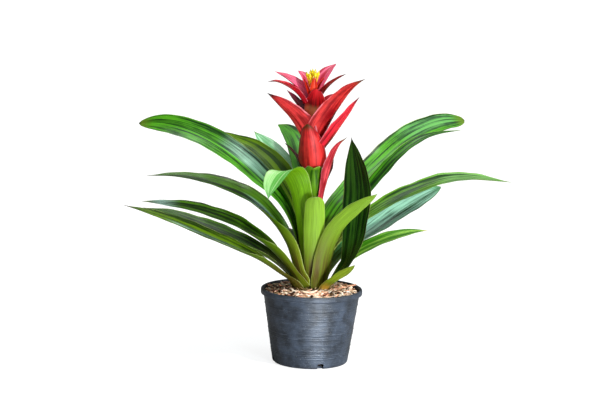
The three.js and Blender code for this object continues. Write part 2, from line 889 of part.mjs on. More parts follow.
// The husk layer: a ring of coconut chips, uneven on top and mounded towards the plant.
function huskGeometry() {
  const bottom = MIX_TOP + GAP;
  const around = 44;
  const rows = 7;
  const points = [];
  const faces = [];
  const outer = innerRadius(bottom) - GAP - 0.2;
  for (let i = 0; i <= rows; i++) {
    const t = i / rows;
    for (let j = 0; j < around; j++) {
      const turn = (j * 2 * Math.PI) / around;
      const radius = HUSK_HOLE_RADIUS + (outer + 0.5 - HUSK_HOLE_RADIUS) * t;
      const bump = Math.sin(j * 2.9 + i * 5.1) * 0.9 + Math.sin(j * 1.7 - i * 3.3) * 0.7;
      const height = HUSK_MOUND + (HUSK_EDGE - HUSK_MOUND) * t * t + (i === rows ? 0 : bump);
      points.push(new THREE.Vector3(radius * Math.cos(turn), radius * Math.sin(turn), height));
    }
  }
  for (const radius of [outer, CAUDEX_RADIUS + 0.6]) {
    for (let j = 0; j < around; j++) {
      const turn = (j * 2 * Math.PI) / around;
      points.push(new THREE.Vector3(radius * Math.cos(turn), radius * Math.sin(turn), bottom));
    }
  }
  const loops = rows + 3;
  for (let i = 0; i < loops; i++) {
    for (let j = 0; j < around; j++) {
      const a = i * around + j;
      const b = i * around + ((j + 1) % around);
      const c = ((i + 1) % loops) * around + j;
      const d = ((i + 1) % loops) * around + ((j + 1) % around);
      faces.push([a, b, d], [a, d, c]);
    }
  }
  return closedGeometry(points, faces);
}

// A flower: a slender yellow tube that swells into a closed head of three petals.
function flowerGeometry(flower) {
  const turn = radians(flower.azimuth);
  const out = new THREE.Vector3(Math.cos(turn), Math.sin(turn), 0);
  const foot = out.clone().multiplyScalar(flower.foot);
  foot.add(new THREE.Vector3(scapeOffset(FLOWER_FOOT), 0, FLOWER_FOOT));
  const tip = out.clone().multiplyScalar(flower.reach);
  tip.add(new THREE.Vector3(scapeOffset(FLOWER_FOOT), 0, flower.top));
  const along = tip.clone().sub(foot);
  const length = along.length();
  const geometry = turned(
    [
      [0, 0],
      [FLOWER_TUBE_RADIUS * 0.8, 0],
      [FLOWER_TUBE_RADIUS, length * 0.3],
      [FLOWER_TUBE_RADIUS, length * 0.6],
      [FLOWER_HEAD_RADIUS, length * 0.8],
      [FLOWER_HEAD_RADIUS * 0.7, length * 0.94],
      [0, length],
    ],
    9,
  );
  const turnUp = new THREE.Quaternion().setFromUnitVectors(
    new THREE.Vector3(0, 0, 1),
    along.normalize(),
  );
  return geometry.applyQuaternion(turnUp).translate(foot.x, foot.y, foot.z);
}

function addPiece(group, name, geometry, colour, roughness) {
  const material = new THREE.MeshStandardMaterial({ color: colour, roughness, metalness: 0 });
  const mesh = new THREE.Mesh(geometry, material);
  mesh.name = name;
  group.add(mesh);
}

const plant = new THREE.Group();
addPiece(plant, "pot", potGeometry(), COLOURS.pot, 0.45);
addPiece(plant, "potting_mix", mixGeometry(), COLOURS.mix, 0.95);
addPiece(plant, "husk_mulch", huskGeometry(), COLOURS.husk, 0.9);
addPiece(plant, "flower_stem", stemGeometry(), COLOURS.stem, 0.6);
for (const leaf of LEAVES) {
  addPiece(plant, leaf.name, leafGeometry(leaf), leaf.colour, 0.4);
}
for (const bract of BRACTS) {
  addPiece(plant, bract.name, bractGeometry(bract), bract.colour, 0.45);
}
for (const flower of FLOWERS) {
  addPiece(plant, flower.name, flowerGeometry(flower), COLOURS.flower, 0.5);
}

export default plant;
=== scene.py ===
import json
import math
import random

import bpy
import numpy as np
from mathutils import Matrix, Vector


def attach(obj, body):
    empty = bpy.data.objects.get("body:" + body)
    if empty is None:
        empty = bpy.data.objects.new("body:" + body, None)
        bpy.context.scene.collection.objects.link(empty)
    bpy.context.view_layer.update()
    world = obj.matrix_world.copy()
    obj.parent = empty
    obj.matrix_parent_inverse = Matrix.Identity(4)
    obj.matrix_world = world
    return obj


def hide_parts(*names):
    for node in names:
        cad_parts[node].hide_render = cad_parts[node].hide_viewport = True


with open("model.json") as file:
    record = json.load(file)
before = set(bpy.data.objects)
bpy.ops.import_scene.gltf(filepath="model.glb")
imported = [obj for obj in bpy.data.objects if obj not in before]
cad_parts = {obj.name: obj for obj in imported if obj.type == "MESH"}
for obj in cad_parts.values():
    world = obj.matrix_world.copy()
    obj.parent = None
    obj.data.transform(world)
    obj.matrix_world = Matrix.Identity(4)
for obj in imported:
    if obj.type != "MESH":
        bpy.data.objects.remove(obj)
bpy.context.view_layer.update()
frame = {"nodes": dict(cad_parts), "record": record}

MM = 0.001
random.seed(7)

# The pot.
POT_HEIGHT = 110
POT_RIM_RADIUS = 75
POT_BASE_RADIUS = 55.5
POT_NECK_RADIUS = 70.8
POT_WALL = 1.6
POT_FLOOR = 2
RIM_BAND = 8.5
DRAIN_COUNT = 4
DRAIN_WIDTH = 9
DRAIN_HEIGHT = 8
DRAIN_DEPTH = 11
FIRST_DRAIN_AZIMUTH = 286

# The fine steps moulded round the pot: their height above the floor, and how far they stand out.
POT_RIBS = [
    (14.8, 0.35),
    (17.6, 0.3),
    (20.4, 0.35),
    (26.5, 0.3),
    (36, 0.18),
    (44, 0.4),
    (47.1, 0.3),
    (50.9, 0.45),
    (61, 0.2),
    (67, 0.18),
    (73.1, 0.4),
    (76.1, 0.35),
    (87.4, 0.5),
]

# What fills the pot.
MIX_TOP = 98
HUSK_EDGE = 105.5
HUSK_MOUND = 111
HUSK_HOLE_RADIUS = 31.5
HUSK_OUTER_RADIUS = 69
CHIP_LAYERS = 3
CHIPS_IN_LAYER = 230
CHIP_RADII = (27.5, 66.5)
FIBRE_COUNT = 260
FIBRE_REACH = 66
STRAND_SIDES = 5

# The stem.
CAUDEX_RADIUS = 26.5
CAUDEX_BOTTOM = 84.5
CAUDEX_SHOULDER = 103
CAUDEX_TOP = 127
SCAPE_RADIUS = 5.2
SCAPE_TIP_RADIUS = 3.6
SCAPE_TOP = 404
SCAPE_LEAN = -6
ROOT_COUNT = 6
ROOT_RADIUS = 1.8
ROOT_BOTTOM = 42
ROOT_CIRCLE = 17
FLOWER_FOOT = 406
NODE_SPACING = 16
STEM_SIDES = 28

# A blade follows the round of the stem up to the first of these shares of its length, and has its
# own trough from the second one on.
SHEATH_START = 0.06
SHEATH_END = 0.3

# What the rows of the tables below don't say. outline: the width along the blade, as shares of the
# whole width. channel: half the angle of the blade's trough along its length. roll: its twist about
# the midrib. wrap: half the angle that its sheath covers round the stem. front: by what share one
# side of the sheath reaches further round than the other; its sign says which. keel: how steeply the
# halves rise from the midrib. thickness: of the middle. wave, wave_length: the height and length of
# the margin's waves. groove: its depth at the midrib.
USUAL_LEAF = dict(
    outline=[0.84, 0.8, 0.84, 0.92, 0.98, 1, 0.98, 0.9, 0.74, 0.46, 0],
    channel=[44, 38, 32, 28, 24, 20],
    roll=[0, 0], wrap=48, front=0.0, keel=0.0, thickness=0.8, wave=0.7, wave_length=70, groove=0.35,
    offset=0.0, painted_sheen=None,
)
USUAL_BRACT = dict(
    outline=[0.3, 0.62, 0.9, 1, 0.96, 0.78, 0.48, 0],
    channel=[60, 52, 42, 34, 28],
    roll=[0, 0], wrap=70, front=0.0, keel=0.08, thickness=0.8, wave=0.5, wave_length=40, groove=0.25,
)

# The camera, fitted to the photograph: place in metres, pitch and roll in degrees, lens in
# millimetres on a sensor 36 mm wide.
CAMERA_PLACE = (-0.0113, -2.5, 0.6145)
CAMERA_PITCH = 8.59
CAMERA_ROLL = 1.385
CAMERA_LENS = 101.6


def paint(red, green, blue):
    """A colour as it shows on a screen, 0 to 255, as the linear colour that a shader needs."""
    linear = []
    for value in (red, green, blue):
        share = value / 255
        linear.append(share / 12.92 if share <= 0.04045 else ((share + 0.055) / 1.055) ** 2.4)
    return (*linear, 1.0)


def painted(look):
    """A palette of the tables below, with its colours made ready for a shader."""
    return {key: paint(*value) if isinstance(value, tuple) else value for key, value in look.items()}


# Pale bluish sheen, painted on the upper side of some leaves as a highlight.
PAINTED_SHEEN_COLOUR = paint(176, 212, 208)
SHEATH_STREAK_COLOUR = paint(84, 60, 26)
# Pale leaf margin, lifted further as a painted highlight along the edge.
LEAF_MARGIN_HIGHLIGHT_COLOUR = paint(188, 200, 120)
LEAF_SPECK_COLOUR = paint(110, 84, 40)
# Pale bract margin, painted as a pink highlight.
BRACT_MARGIN_HIGHLIGHT_COLOUR = paint(240, 150, 160)
CHIP_COLOURS = [
    paint(44, 24, 15),
    paint(128, 70, 44),
    paint(206, 130, 96),
    paint(242, 180, 146),
    paint(252, 222, 196),
    paint(255, 244, 226),
]


# The leaves, lowest first. azimuth: which way the leaf grows, in degrees from +X. ring: the radius
# at which its sheath stands round the stem. width: its full width. path: reach from the axis and
# height along the midrib, with a sideways shift where a third number is given. look: the palette of
# its upper and under sides. The entry for the painted sheen: where a pale bluish highlight is painted
# on the upper side, from and to as shares of the length and of the width, and how strong it is.
LEAVES = [
    dict(
        name="leaf_left_lowest", azimuth=204, ring=26, width=40, look="olive",
        path=[(34, 121), (53, 135), (86, 157), (118, 173), (177, 200), (230, 223), (293, 246)],
        channel=[52, 50, 40, 32, 26, 20],
        roll=[0, -12, -20, -18, -8], front=0.35,
        painted_sheen=[0.24, 0.8, 0.42, 0.6, 0.4],
    ),
    dict(
        name="leaf_front_right_short", azimuth=312, ring=26, width=26, look="ochre",
        path=[(30, 115), (42, 123), (61, 136), (77, 147), (92, 159)],
        outline=[0.84, 0.8, 0.84, 0.86, 0.84, 0.8, 0.74, 0.64, 0.5, 0.3, 0],
        channel=[40, 38, 36, 34, 30, 26],
        roll=[0, -10, -20, -20],
    ),
    dict(
        name="leaf_back_lowest", azimuth=98, ring=26, width=38, look="deep",
        path=[(34, 120), (56, 137), (90, 156), (130, 168), (168, 168), (200, 158)],
        channel=[40, 36, 32, 28, 24, 20],
    ),
    dict(
        name="leaf_left_low_rear", azimuth=166, ring=24.5, width=38, look="deep",
        path=[(32, 124), (50, 141), (84, 160), (111, 172), (166, 191), (220, 207), (265, 214)],
        channel=[52, 48, 38, 30, 24, 20],
        roll=[0, -8, -16, -12, -4], front=0.6,
    ),
    dict(
        name="leaf_right_lowest", azimuth=10, ring=24.5, width=30, look="bright",
        path=[(33, 122), (49, 143), (68, 160), (107, 180), (143, 191), (174, 195)],
        outline=[0.84, 0.8, 0.9, 1.05, 1.15, 1.15, 1.05, 0.94, 0.78, 0.5, 0],
        channel=[42, 40, 36, 32, 26, 20],
        roll=[0, 8, 18, 18, 12], front=-0.4,
    ),
    dict(
        name="leaf_right_upright", azimuth=340, ring=23, width=49, wrap=24, look="dark_striped",
        path=[(29, 123), (42, 134), (54, 150), (62, 176), (66, 202), (68, 230), (69, 252),
              (67, 278), (62, 306), (55, 338)],
        outline=[0.7, 0.7, 0.78, 0.88, 0.96, 1.02, 1.08, 1.04, 0.84, 0.46, 0],
        channel=[40, 32, 22, 18, 16, 16],
        roll=[0, 34, 62, 68, 70, 70],
    ),
    dict(
        name="leaf_back_right_low", azimuth=70, ring=23, width=38, wrap=40, look="deep",
        path=[(32, 126), (52, 146), (88, 166), (132, 180), (178, 184), (216, 176)],
        channel=[42, 36, 32, 28, 24, 20],
    ),
    dict(
        name="leaf_left_low_front", azimuth=194, ring=21.5, width=40, look="deep",
        path=[(31, 130), (46, 151), (73, 178), (121, 209), (183, 231), (256, 243)],
        channel=[60, 58, 44, 32, 26, 22],
        roll=[0, -16, -22, -18, -10], front=0.7,
        painted_sheen=[0.78, 0.98, 0, 1, 0.5],
    ),
    dict(
        name="leaf_right_low", azimuth=32, ring=21.5, width=42, wrap=28, look="silver",
        path=[(26, 130), (45, 152), (73, 172), (114, 195), (158, 219), (203, 239), (230, 248)],
        outline=[0.84, 0.78, 0.84, 0.96, 1.06, 1.1, 1.12, 1.1, 1.02, 0.82, 0.24],
        roll=[0, 2, 16, 24, 20],
        painted_sheen=[0.3, 1.0, 0, 1, 0.5],
    ),
    dict(
        name="leaf_front_right_sweeping", azimuth=308, ring=20, width=40, wrap=42, look="lime",
        path=[(23, 126), (27, 142), (31, 160), (40, 184), (58, 210), (84, 232), (112, 250),
              (146, 270)],
        outline=[0.84, 0.84, 0.86, 0.82, 0.76, 0.7, 0.64, 0.58, 0.46, 0.28, 0],
        channel=[50, 46, 38, 32, 26, 20],
        roll=[0, -8, -24, -32, -30],
    ),
    dict(
        name="leaf_back_middle", azimuth=97, ring=20, width=40, wrap=42, look="deep",
        path=[(23, 134), (38, 160), (60, 186), (98, 208), (142, 216), (188, 208), (222, 192)],
    ),
    dict(
        name="leaf_left_middle", azimuth=186, ring=20, width=42, wrap=42, look="deep_pale_sheath",
        path=[(26, 132), (31, 154), (40, 180), (65, 217), (97, 244), (130, 259), (187, 273),
              (246, 275)],
        channel=[64, 64, 50, 34, 26, 22],
        roll=[0, -20, -26, -14, 0], front=0.9,
        painted_sheen=[0.22, 0.56, 0.4, 0.66, 0.5],
    ),
    dict(
        name="leaf_back_high", azimuth=92, ring=15.5, width=34, wrap=26, look="fresh",
        path=[(17, 155), (24, 184), (46, 214), (92, 244), (140, 256), (190, 242)],
    ),
    dict(
        name="leaf_right_long", azimuth=14, ring=18.5, width=40, wrap=28, look="fresh_pale_sheath",
        path=[(21, 146), (34, 171), (56, 194), (101, 226), (156, 253), (218, 270), (308, 264)],
        outline=[0.84, 0.8, 0.84, 0.92, 0.98, 1, 1, 1, 0.94, 0.66, 0],
        channel=[44, 42, 36, 30, 26, 22],
        roll=[0, 6, 14, 12, 4],
        painted_sheen=[0.62, 1.0, 0, 1, 0.12],
    ),
    dict(
        name="leaf_front_middle", azimuth=272, ring=17, width=32, wrap=40, look="lime",
        path=[(18.5, 140), (22, 160), (29, 185), (35, 205), (41, 224), (45, 240), (50, 251),
              (57, 254)],
        outline=[0.9, 0.88, 0.86, 0.88, 0.92, 0.96, 1, 1, 0.96, 0.82, 0],
        channel=[48, 42, 36, 32, 30, 30],
    ),
    dict(
        name="leaf_left_high_rear", azimuth=135, ring=12.6, width=36, wrap=38, look="olive_brown_sheath",
        path=[(14, 168), (20, 200), (36, 236), (64, 267), (90, 288), (130, 306), (172, 315),
              (212, 324)],
        outline=[0.7, 0.7, 0.84, 1, 1.08, 1.06, 0.96, 0.8, 0.6, 0.34, 0],
        channel=[48, 42, 36, 30, 26, 22],
        roll=[0, 0, -12, -34, -34],
    ),
    dict(
        name="leaf_right_high_front", azimuth=18, ring=17, width=30, look="fresh",
        path=[(18.5, 150), (25, 176), (43, 200), (62, 223), (96, 266), (132, 305), (172, 331),
              (232, 342)],
        channel=[48, 42, 34, 30, 26, 22],
        roll=[0, 4, 12, 12, 6],
    ),
    dict(
        name="leaf_left_high", azimuth=160, ring=17, width=46, wrap=30, look="fresh_brown_sheath",
        path=[(20.5, 160), (29, 198), (48, 234), (87, 269), (139, 306), (198, 331), (248, 339),
              (284, 337)],
        outline=[0.76, 0.72, 0.74, 0.86, 0.96, 1, 1, 0.96, 0.84, 0.66, 0.3],
        channel=[48, 40, 32, 28, 24, 20],
        roll=[0, -10, -28, -40, -62],
        painted_sheen=[0.38, 0.68, 0.0, 0.5, 0.55],
    ),
    dict(
        name="leaf_front_left_folded", azimuth=237, ring=15.5, width=36, wrap=42, look="folded",
        path=[(18, 160, 1), (25, 200, 2), (33, 240, 1), (43, 272, -2), (57, 288, -5), (78, 287, -9),
              (93, 269, -13), (100, 250, -13)],
        outline=[0.95, 0.9, 0.86, 0.84, 0.86, 0.92, 1, 1.2, 1.3, 0.86, 0],
        channel=[48, 42, 34, 26, 14, 16],
        roll=[0, 6, 14, 12, 0],
    ),
    dict(
        name="leaf_back_right_middle", azimuth=66, ring=18.5, width=34, wrap=23, look="fresh",
        path=[(20.5, 150), (31, 172), (50, 190), (86, 206), (130, 210), (170, 198)],
        channel=[48, 40, 32, 28, 24, 20],
    ),
    dict(
        name="leaf_right_high", azimuth=45, ring=14, width=44, wrap=40, look="fresh_brown_sheath",
        path=[(16, 164), (27, 200), (46, 224), (76, 247), (138, 286), (200, 319), (270, 337),
              (336, 340)],
        outline=[0.8, 0.76, 0.82, 0.92, 0.98, 1, 1, 0.98, 0.9, 0.72, 0.42],
        channel=[52, 42, 32, 28, 24, 20],
        roll=[0, 2, 14, 28, 50],
        painted_sheen=[0.62, 1.0, 0.3, 1, 0.12],
    ),
    dict(
        name="leaf_back_left_pale", azimuth=115, ring=14, width=28, wrap=17, look="mint",
        path=[(15, 165), (19, 190), (30, 214), (53, 238), (87, 266), (129, 288), (180, 304),
              (229, 318)],
        outline=[0.8, 0.8, 0.84, 0.92, 1, 1.06, 1.08, 1.04, 0.9, 0.56, 0],
        channel=[52, 42, 34, 28, 24, 20],
        roll=[0, -10, -24, -30, -20],
    ),
    dict(
        name="leaf_back_left_high", azimuth=105, ring=11.2, width=40, look="fresh",
        path=[(12.4, 172), (23, 222), (52, 270), (92, 304), (136, 322), (178, 329), (208, 330)],
        outline=[0.84, 0.8, 0.84, 0.92, 0.98, 1, 1, 0.96, 0.86, 0.66, 0.3],
        channel=[54, 42, 34, 28, 24, 20],
    ),
]

# The bracts, lowest first. path: reach from the scape and height above the floor.
BRACTS = [
    dict(
        name="bract_green_front", azimuth=272, width=38, look="green",
        path=[(6, 238), (9, 248), (13, 262), (16, 277), (20, 289), (26, 291)],
        channel=[60, 62, 60, 56, 50],
        outline=[0.3, 0.7, 0.95, 1, 1, 0.92, 0.7, 0],
    ),
    dict(
        name="bract_right_lower", azimuth=328, width=26, look="red_green_tip",
        path=[(6, 222), (14, 238), (19, 258), (25, 282), (33, 308), (43, 326), (57, 339)],
        outline=[0.3, 0.5, 0.64, 0.84, 0.96, 0.8, 0.5, 0],
        channel=[60, 50, 40, 34, 30],
    ),
    dict(
        name="bract_left_lower", azimuth=167, width=20, look="maroon",
        path=[(6, 244), (11, 262), (17, 283), (24, 300), (34, 313), (45, 324)],
        channel=[60, 50, 40, 30, 26],
    ),
    dict(
        name="bract_right_rear_lower", azimuth=42, width=20, look="maroon",
        path=[(6, 236), (13, 252), (24, 268), (34, 286), (40, 306)],
        channel=[60, 50, 40, 30, 26],
    ),
    dict(
        name="bract_back_lower", azimuth=79, width=26, look="maroon",
        path=[(6, 266), (12, 284), (21, 304), (33, 321), (47, 331)],
        channel=[60, 50, 40, 32, 28],
    ),
    dict(
        name="bract_front_large", azimuth=264, width=50, look="coral",
        path=[(6, 272), (11, 279), (16, 290), (21, 310, -1), (25, 332, -3), (25, 356, -6)],
        channel=[60, 62, 62, 58, 50],
        outline=[0.45, 0.84, 1, 1, 0.9, 0.76, 0.54, 0.3],
    ),
    dict(
        name="bract_right_long_lower", azimuth=340, width=42, look="red",
        path=[(6, 296), (14, 312), (29, 333), (43, 354), (55, 372), (63, 386), (70, 397)],
    ),
    dict(
        name="bract_back_left_lower", azimuth=136, width=30, look="red",
        path=[(6, 300), (12, 320), (24, 342), (40, 358), (58, 368)],
    ),
    dict(
        name="bract_back_right_lower", azimuth=62, width=30, look="red",
        path=[(6, 309), (13, 329), (24, 350), (38, 367), (53, 378)],
    ),
    dict(
        name="bract_left_keeled", azimuth=207, width=53, look="red_dark_tip", keel=0.3,
        path=[(6, 306), (13, 322), (23, 342), (38, 363), (55, 380), (76, 400)],
        outline=[0.34, 0.64, 0.94, 1.04, 0.96, 0.78, 0.52, 0],
        channel=[60, 54, 46, 36, 28],
    ),
    dict(
        name="bract_right_long_upper", azimuth=322, width=54, look="coral",
        path=[(6, 314), (15, 334), (28, 359), (43, 381), (57, 398), (72, 412), (92, 425)],
        outline=[0.5, 0.9, 1.06, 1, 0.86, 0.68, 0.44, 0],
        channel=[60, 54, 44, 34, 26],
    ),
    dict(
        name="bract_back_middle", azimuth=98, width=30, look="red",
        path=[(6, 330), (12, 350), (24, 370), (40, 386), (58, 396)],
    ),
    dict(
        name="bract_left_shaded", azimuth=164, width=34, look="purple",
        path=[(6, 340), (11, 356), (20, 374), (31, 388), (41, 401)],
    ),
    dict(
        name="bract_right_rear_upper", azimuth=32, width=28, look="red",
        path=[(6, 346), (12, 363), (22, 380), (32, 391), (41, 397)],
    ),
    dict(
        name="bract_front_upper", azimuth=270, width=38, look="red_tan_base",
        path=[(6, 352), (12, 361, 1), (16, 374, 3), (17, 390, 4), (14, 405, 4)],
        channel=[60, 60, 58, 52, 44],
        outline=[0.3, 0.66, 0.92, 1, 0.96, 0.84, 0.62, 0.34],
    ),
    dict(
        name="bract_left_flat", azimuth=184, width=31, look="red",
        path=[(6, 360), (12, 379), (23, 396), (38, 407), (53, 413), (67, 413)],
        channel=[60, 52, 42, 32, 26],
    ),
    dict(
        name="bract_right_top", azimuth=348, width=28, look="red",
        path=[(6, 366), (10, 386), (18, 402), (31, 416), (49, 428)],
        channel=[60, 52, 42, 32, 26],
    ),
    dict(
        name="bract_back_left_pink", azimuth=142, width=30, look="pink",
        path=[(6, 372), (11, 388), (24, 402), (45, 414), (73, 425)],
        channel=[60, 52, 42, 32, 26],
    ),
    dict(
        name="bract_back_right_pink", azimuth=49, width=29, look="pink",
        path=[(6, 378), (10, 394), (19, 412), (33, 427), (52, 439)],
        channel=[60, 52, 42, 32, 26],
    ),
    dict(
        name="bract_top_left_pink", azimuth=118, width=20, look="pink",
        path=[(5, 384), (9, 398), (18, 412), (32, 422), (47, 427)],
        channel=[60, 52, 42, 32, 26],
    ),
    dict(
        name="bract_inner_front", azimuth=280, width=13, wrap=50, look="scarlet",
        path=[(5, 386), (8.5, 396), (11, 408), (13, 422)],
        channel=[60, 52, 42, 36, 30],
    ),
    dict(
        name="bract_inner_left", azimuth=205, width=12, wrap=50, look="scarlet",
        path=[(5, 391), (8.5, 400), (12, 411), (16, 421)],
        channel=[60, 52, 42, 36, 30],
    ),
    dict(
        name="bract_inner_right", azimuth=350, width=12, wrap=50, look="scarlet",
        path=[(5, 396), (8.5, 404), (12.5, 413), (18, 422)],
        channel=[60, 52, 42, 36, 30],
    ),
]

FLOWERS = [
    dict(name="flower_middle", azimuth=0, foot=0, reach=0, top=433),
    dict(name="flower_front_left", azimuth=235, foot=4.2, reach=8, top=427),
    dict(name="flower_front_right", azimuth=300, foot=4.2, reach=8, top=429),
    dict(name="flower_right", azimuth=355, foot=4.2, reach=9, top=430),
    dict(name="flower_back_right", azimuth=60, foot=4.2, reach=8, top=432),
    dict(name="flower_back_left", azimuth=115, foot=4.2, reach=8, top=431),
    dict(name="flower_left", azimuth=175, foot=4.2, reach=9, top=428),
]

# Leaf palettes, in screen colours: the darker and lighter green of the upper side, the under side,
# the sheath and the tip; how rough the upper side is; and how far up the sheath's colour reaches.
LEAF_LOOKS = {
    "deep": dict(
        dark=(10, 30, 2), light=(56, 96, 6), under=(76, 108, 8),
        sheath=(112, 124, 24), tip=(84, 92, 26), rough=0.3,
    ),
    "fresh": dict(
        dark=(10, 48, 4), light=(66, 140, 22), under=(92, 132, 14),
        sheath=(116, 124, 24), tip=(106, 148, 50), rough=0.32,
    ),
    "olive": dict(
        dark=(22, 44, 2), light=(82, 114, 10), under=(78, 106, 10),
        sheath=(96, 92, 20), tip=(70, 40, 26), rough=0.34,
    ),
    "ochre": dict(
        dark=(28, 54, 6), light=(96, 122, 22), under=(104, 120, 18),
        sheath=(186, 140, 46), tip=(36, 60, 10), rough=0.38,
    ),
    "bright": dict(
        dark=(52, 112, 14), light=(140, 190, 72), under=(120, 160, 40),
        sheath=(132, 140, 34), tip=(206, 196, 60), rough=0.34,
    ),
    "deep_pale_sheath": dict(
        dark=(10, 30, 2), light=(56, 96, 6), under=(76, 108, 8),
        sheath=(122, 132, 28), tip=(84, 92, 26), rough=0.3,
    ),
    # A pale sheath whose colour is lifted further as painted light, where the leaves in front shade it.
    "fresh_pale_sheath": dict(
        dark=(22, 62, 4), light=(102, 160, 36), under=(112, 148, 24),
        sheath=(216, 226, 112), sheath_reach=0.42, tip=(110, 150, 54), rough=0.32,
    ),
    "fresh_brown_sheath": dict(
        dark=(10, 52, 4), light=(78, 156, 26), under=(92, 126, 14),
        sheath=(62, 44, 12), tip=(92, 120, 30), rough=0.3,
    ),
    "olive_brown_sheath": dict(
        dark=(40, 76, 0), light=(104, 146, 0), under=(82, 96, 12),
        sheath=(56, 34, 14), tip=(120, 130, 40), rough=0.5,
    ),
    "dark_striped": dict(
        dark=(12, 40, 8), light=(46, 88, 20), under=(26, 72, 8),
        sheath=(44, 84, 10), tip=(40, 54, 16), rough=0.28,
    ),
    "silver": dict(
        dark=(12, 72, 26), light=(104, 184, 122), under=(84, 128, 34),
        sheath=(112, 134, 40), tip=(80, 130, 90), rough=0.28,
    ),
    "lime": dict(
        dark=(70, 110, 16), light=(168, 198, 96), under=(122, 158, 40),
        sheath=(100, 108, 24), tip=(140, 172, 86), rough=0.36, sheath_reach=0.66,
    ),
    "folded": dict(
        dark=(110, 204, 86), light=(184, 240, 156), under=(104, 152, 14),
        sheath=(110, 128, 18), tip=(120, 190, 110), rough=0.26,
    ),
    "mint": dict(
        dark=(110, 180, 118), light=(180, 230, 190), under=(134, 184, 106),
        sheath=(110, 136, 40), tip=(104, 150, 60), rough=0.4,
    ),
}

# Bract palettes: the darker and lighter colour of the blade, its foot and its tip; and how far up
# the foot's colour reaches.
BRACT_LOOKS = {
    "red": dict(
        dark=(128, 4, 16), light=(226, 38, 54), foot=(92, 4, 12),
        tip=(96, 4, 20),
    ),
    "coral": dict(
        dark=(146, 8, 16), light=(224, 52, 48), foot=(130, 6, 22),
        tip=(78, 44, 12),
    ),
    "red_dark_tip": dict(
        dark=(136, 4, 14), light=(244, 60, 62), foot=(110, 6, 20),
        tip=(36, 6, 8),
    ),
    "red_green_tip": dict(
        dark=(150, 14, 28), light=(234, 78, 86), foot=(206, 24, 40),
        tip=(84, 74, 22),
    ),
    "red_tan_base": dict(
        dark=(84, 2, 8), light=(204, 22, 30), foot=(226, 158, 104),
        tip=(196, 24, 34), foot_reach=0.6,
    ),
    "maroon": dict(
        dark=(46, 8, 10), light=(104, 24, 36), foot=(110, 10, 26),
        tip=(28, 48, 8),
    ),
    # Purple pink of a bract's back, darkened as painted shade for a bract that lies in shadow.
    "purple": dict(
        dark=(70, 6, 24), light=(150, 40, 66), foot=(70, 4, 16),
        tip=(170, 70, 96),
    ),
    "pink": dict(
        dark=(176, 16, 50), light=(242, 104, 140), foot=(124, 2, 20),
        tip=(196, 44, 80),
    ),
    "scarlet": dict(
        dark=(150, 12, 6), light=(240, 62, 26), foot=(120, 6, 10),
        tip=(226, 84, 40),
    ),
    "green": dict(
        dark=(40, 84, 2), light=(98, 148, 14), foot=(96, 110, 16),
        tip=(150, 190, 60),
    ),
}


class Signal:
    """A value that flows through a node tree. Sums, differences and products of signals add nodes."""

    def __init__(self, nodes, socket):
        self.nodes = nodes
        self.socket = socket

    def __add__(self, other):
        return self.nodes.maths("ADD", self, other)

    def __sub__(self, other):
        return self.nodes.maths("SUBTRACT", self, other)

    def __rsub__(self, other):
        return self.nodes.maths("SUBTRACT", other, self)

    def __mul__(self, other):
        return self.nodes.maths("MULTIPLY", self, other)


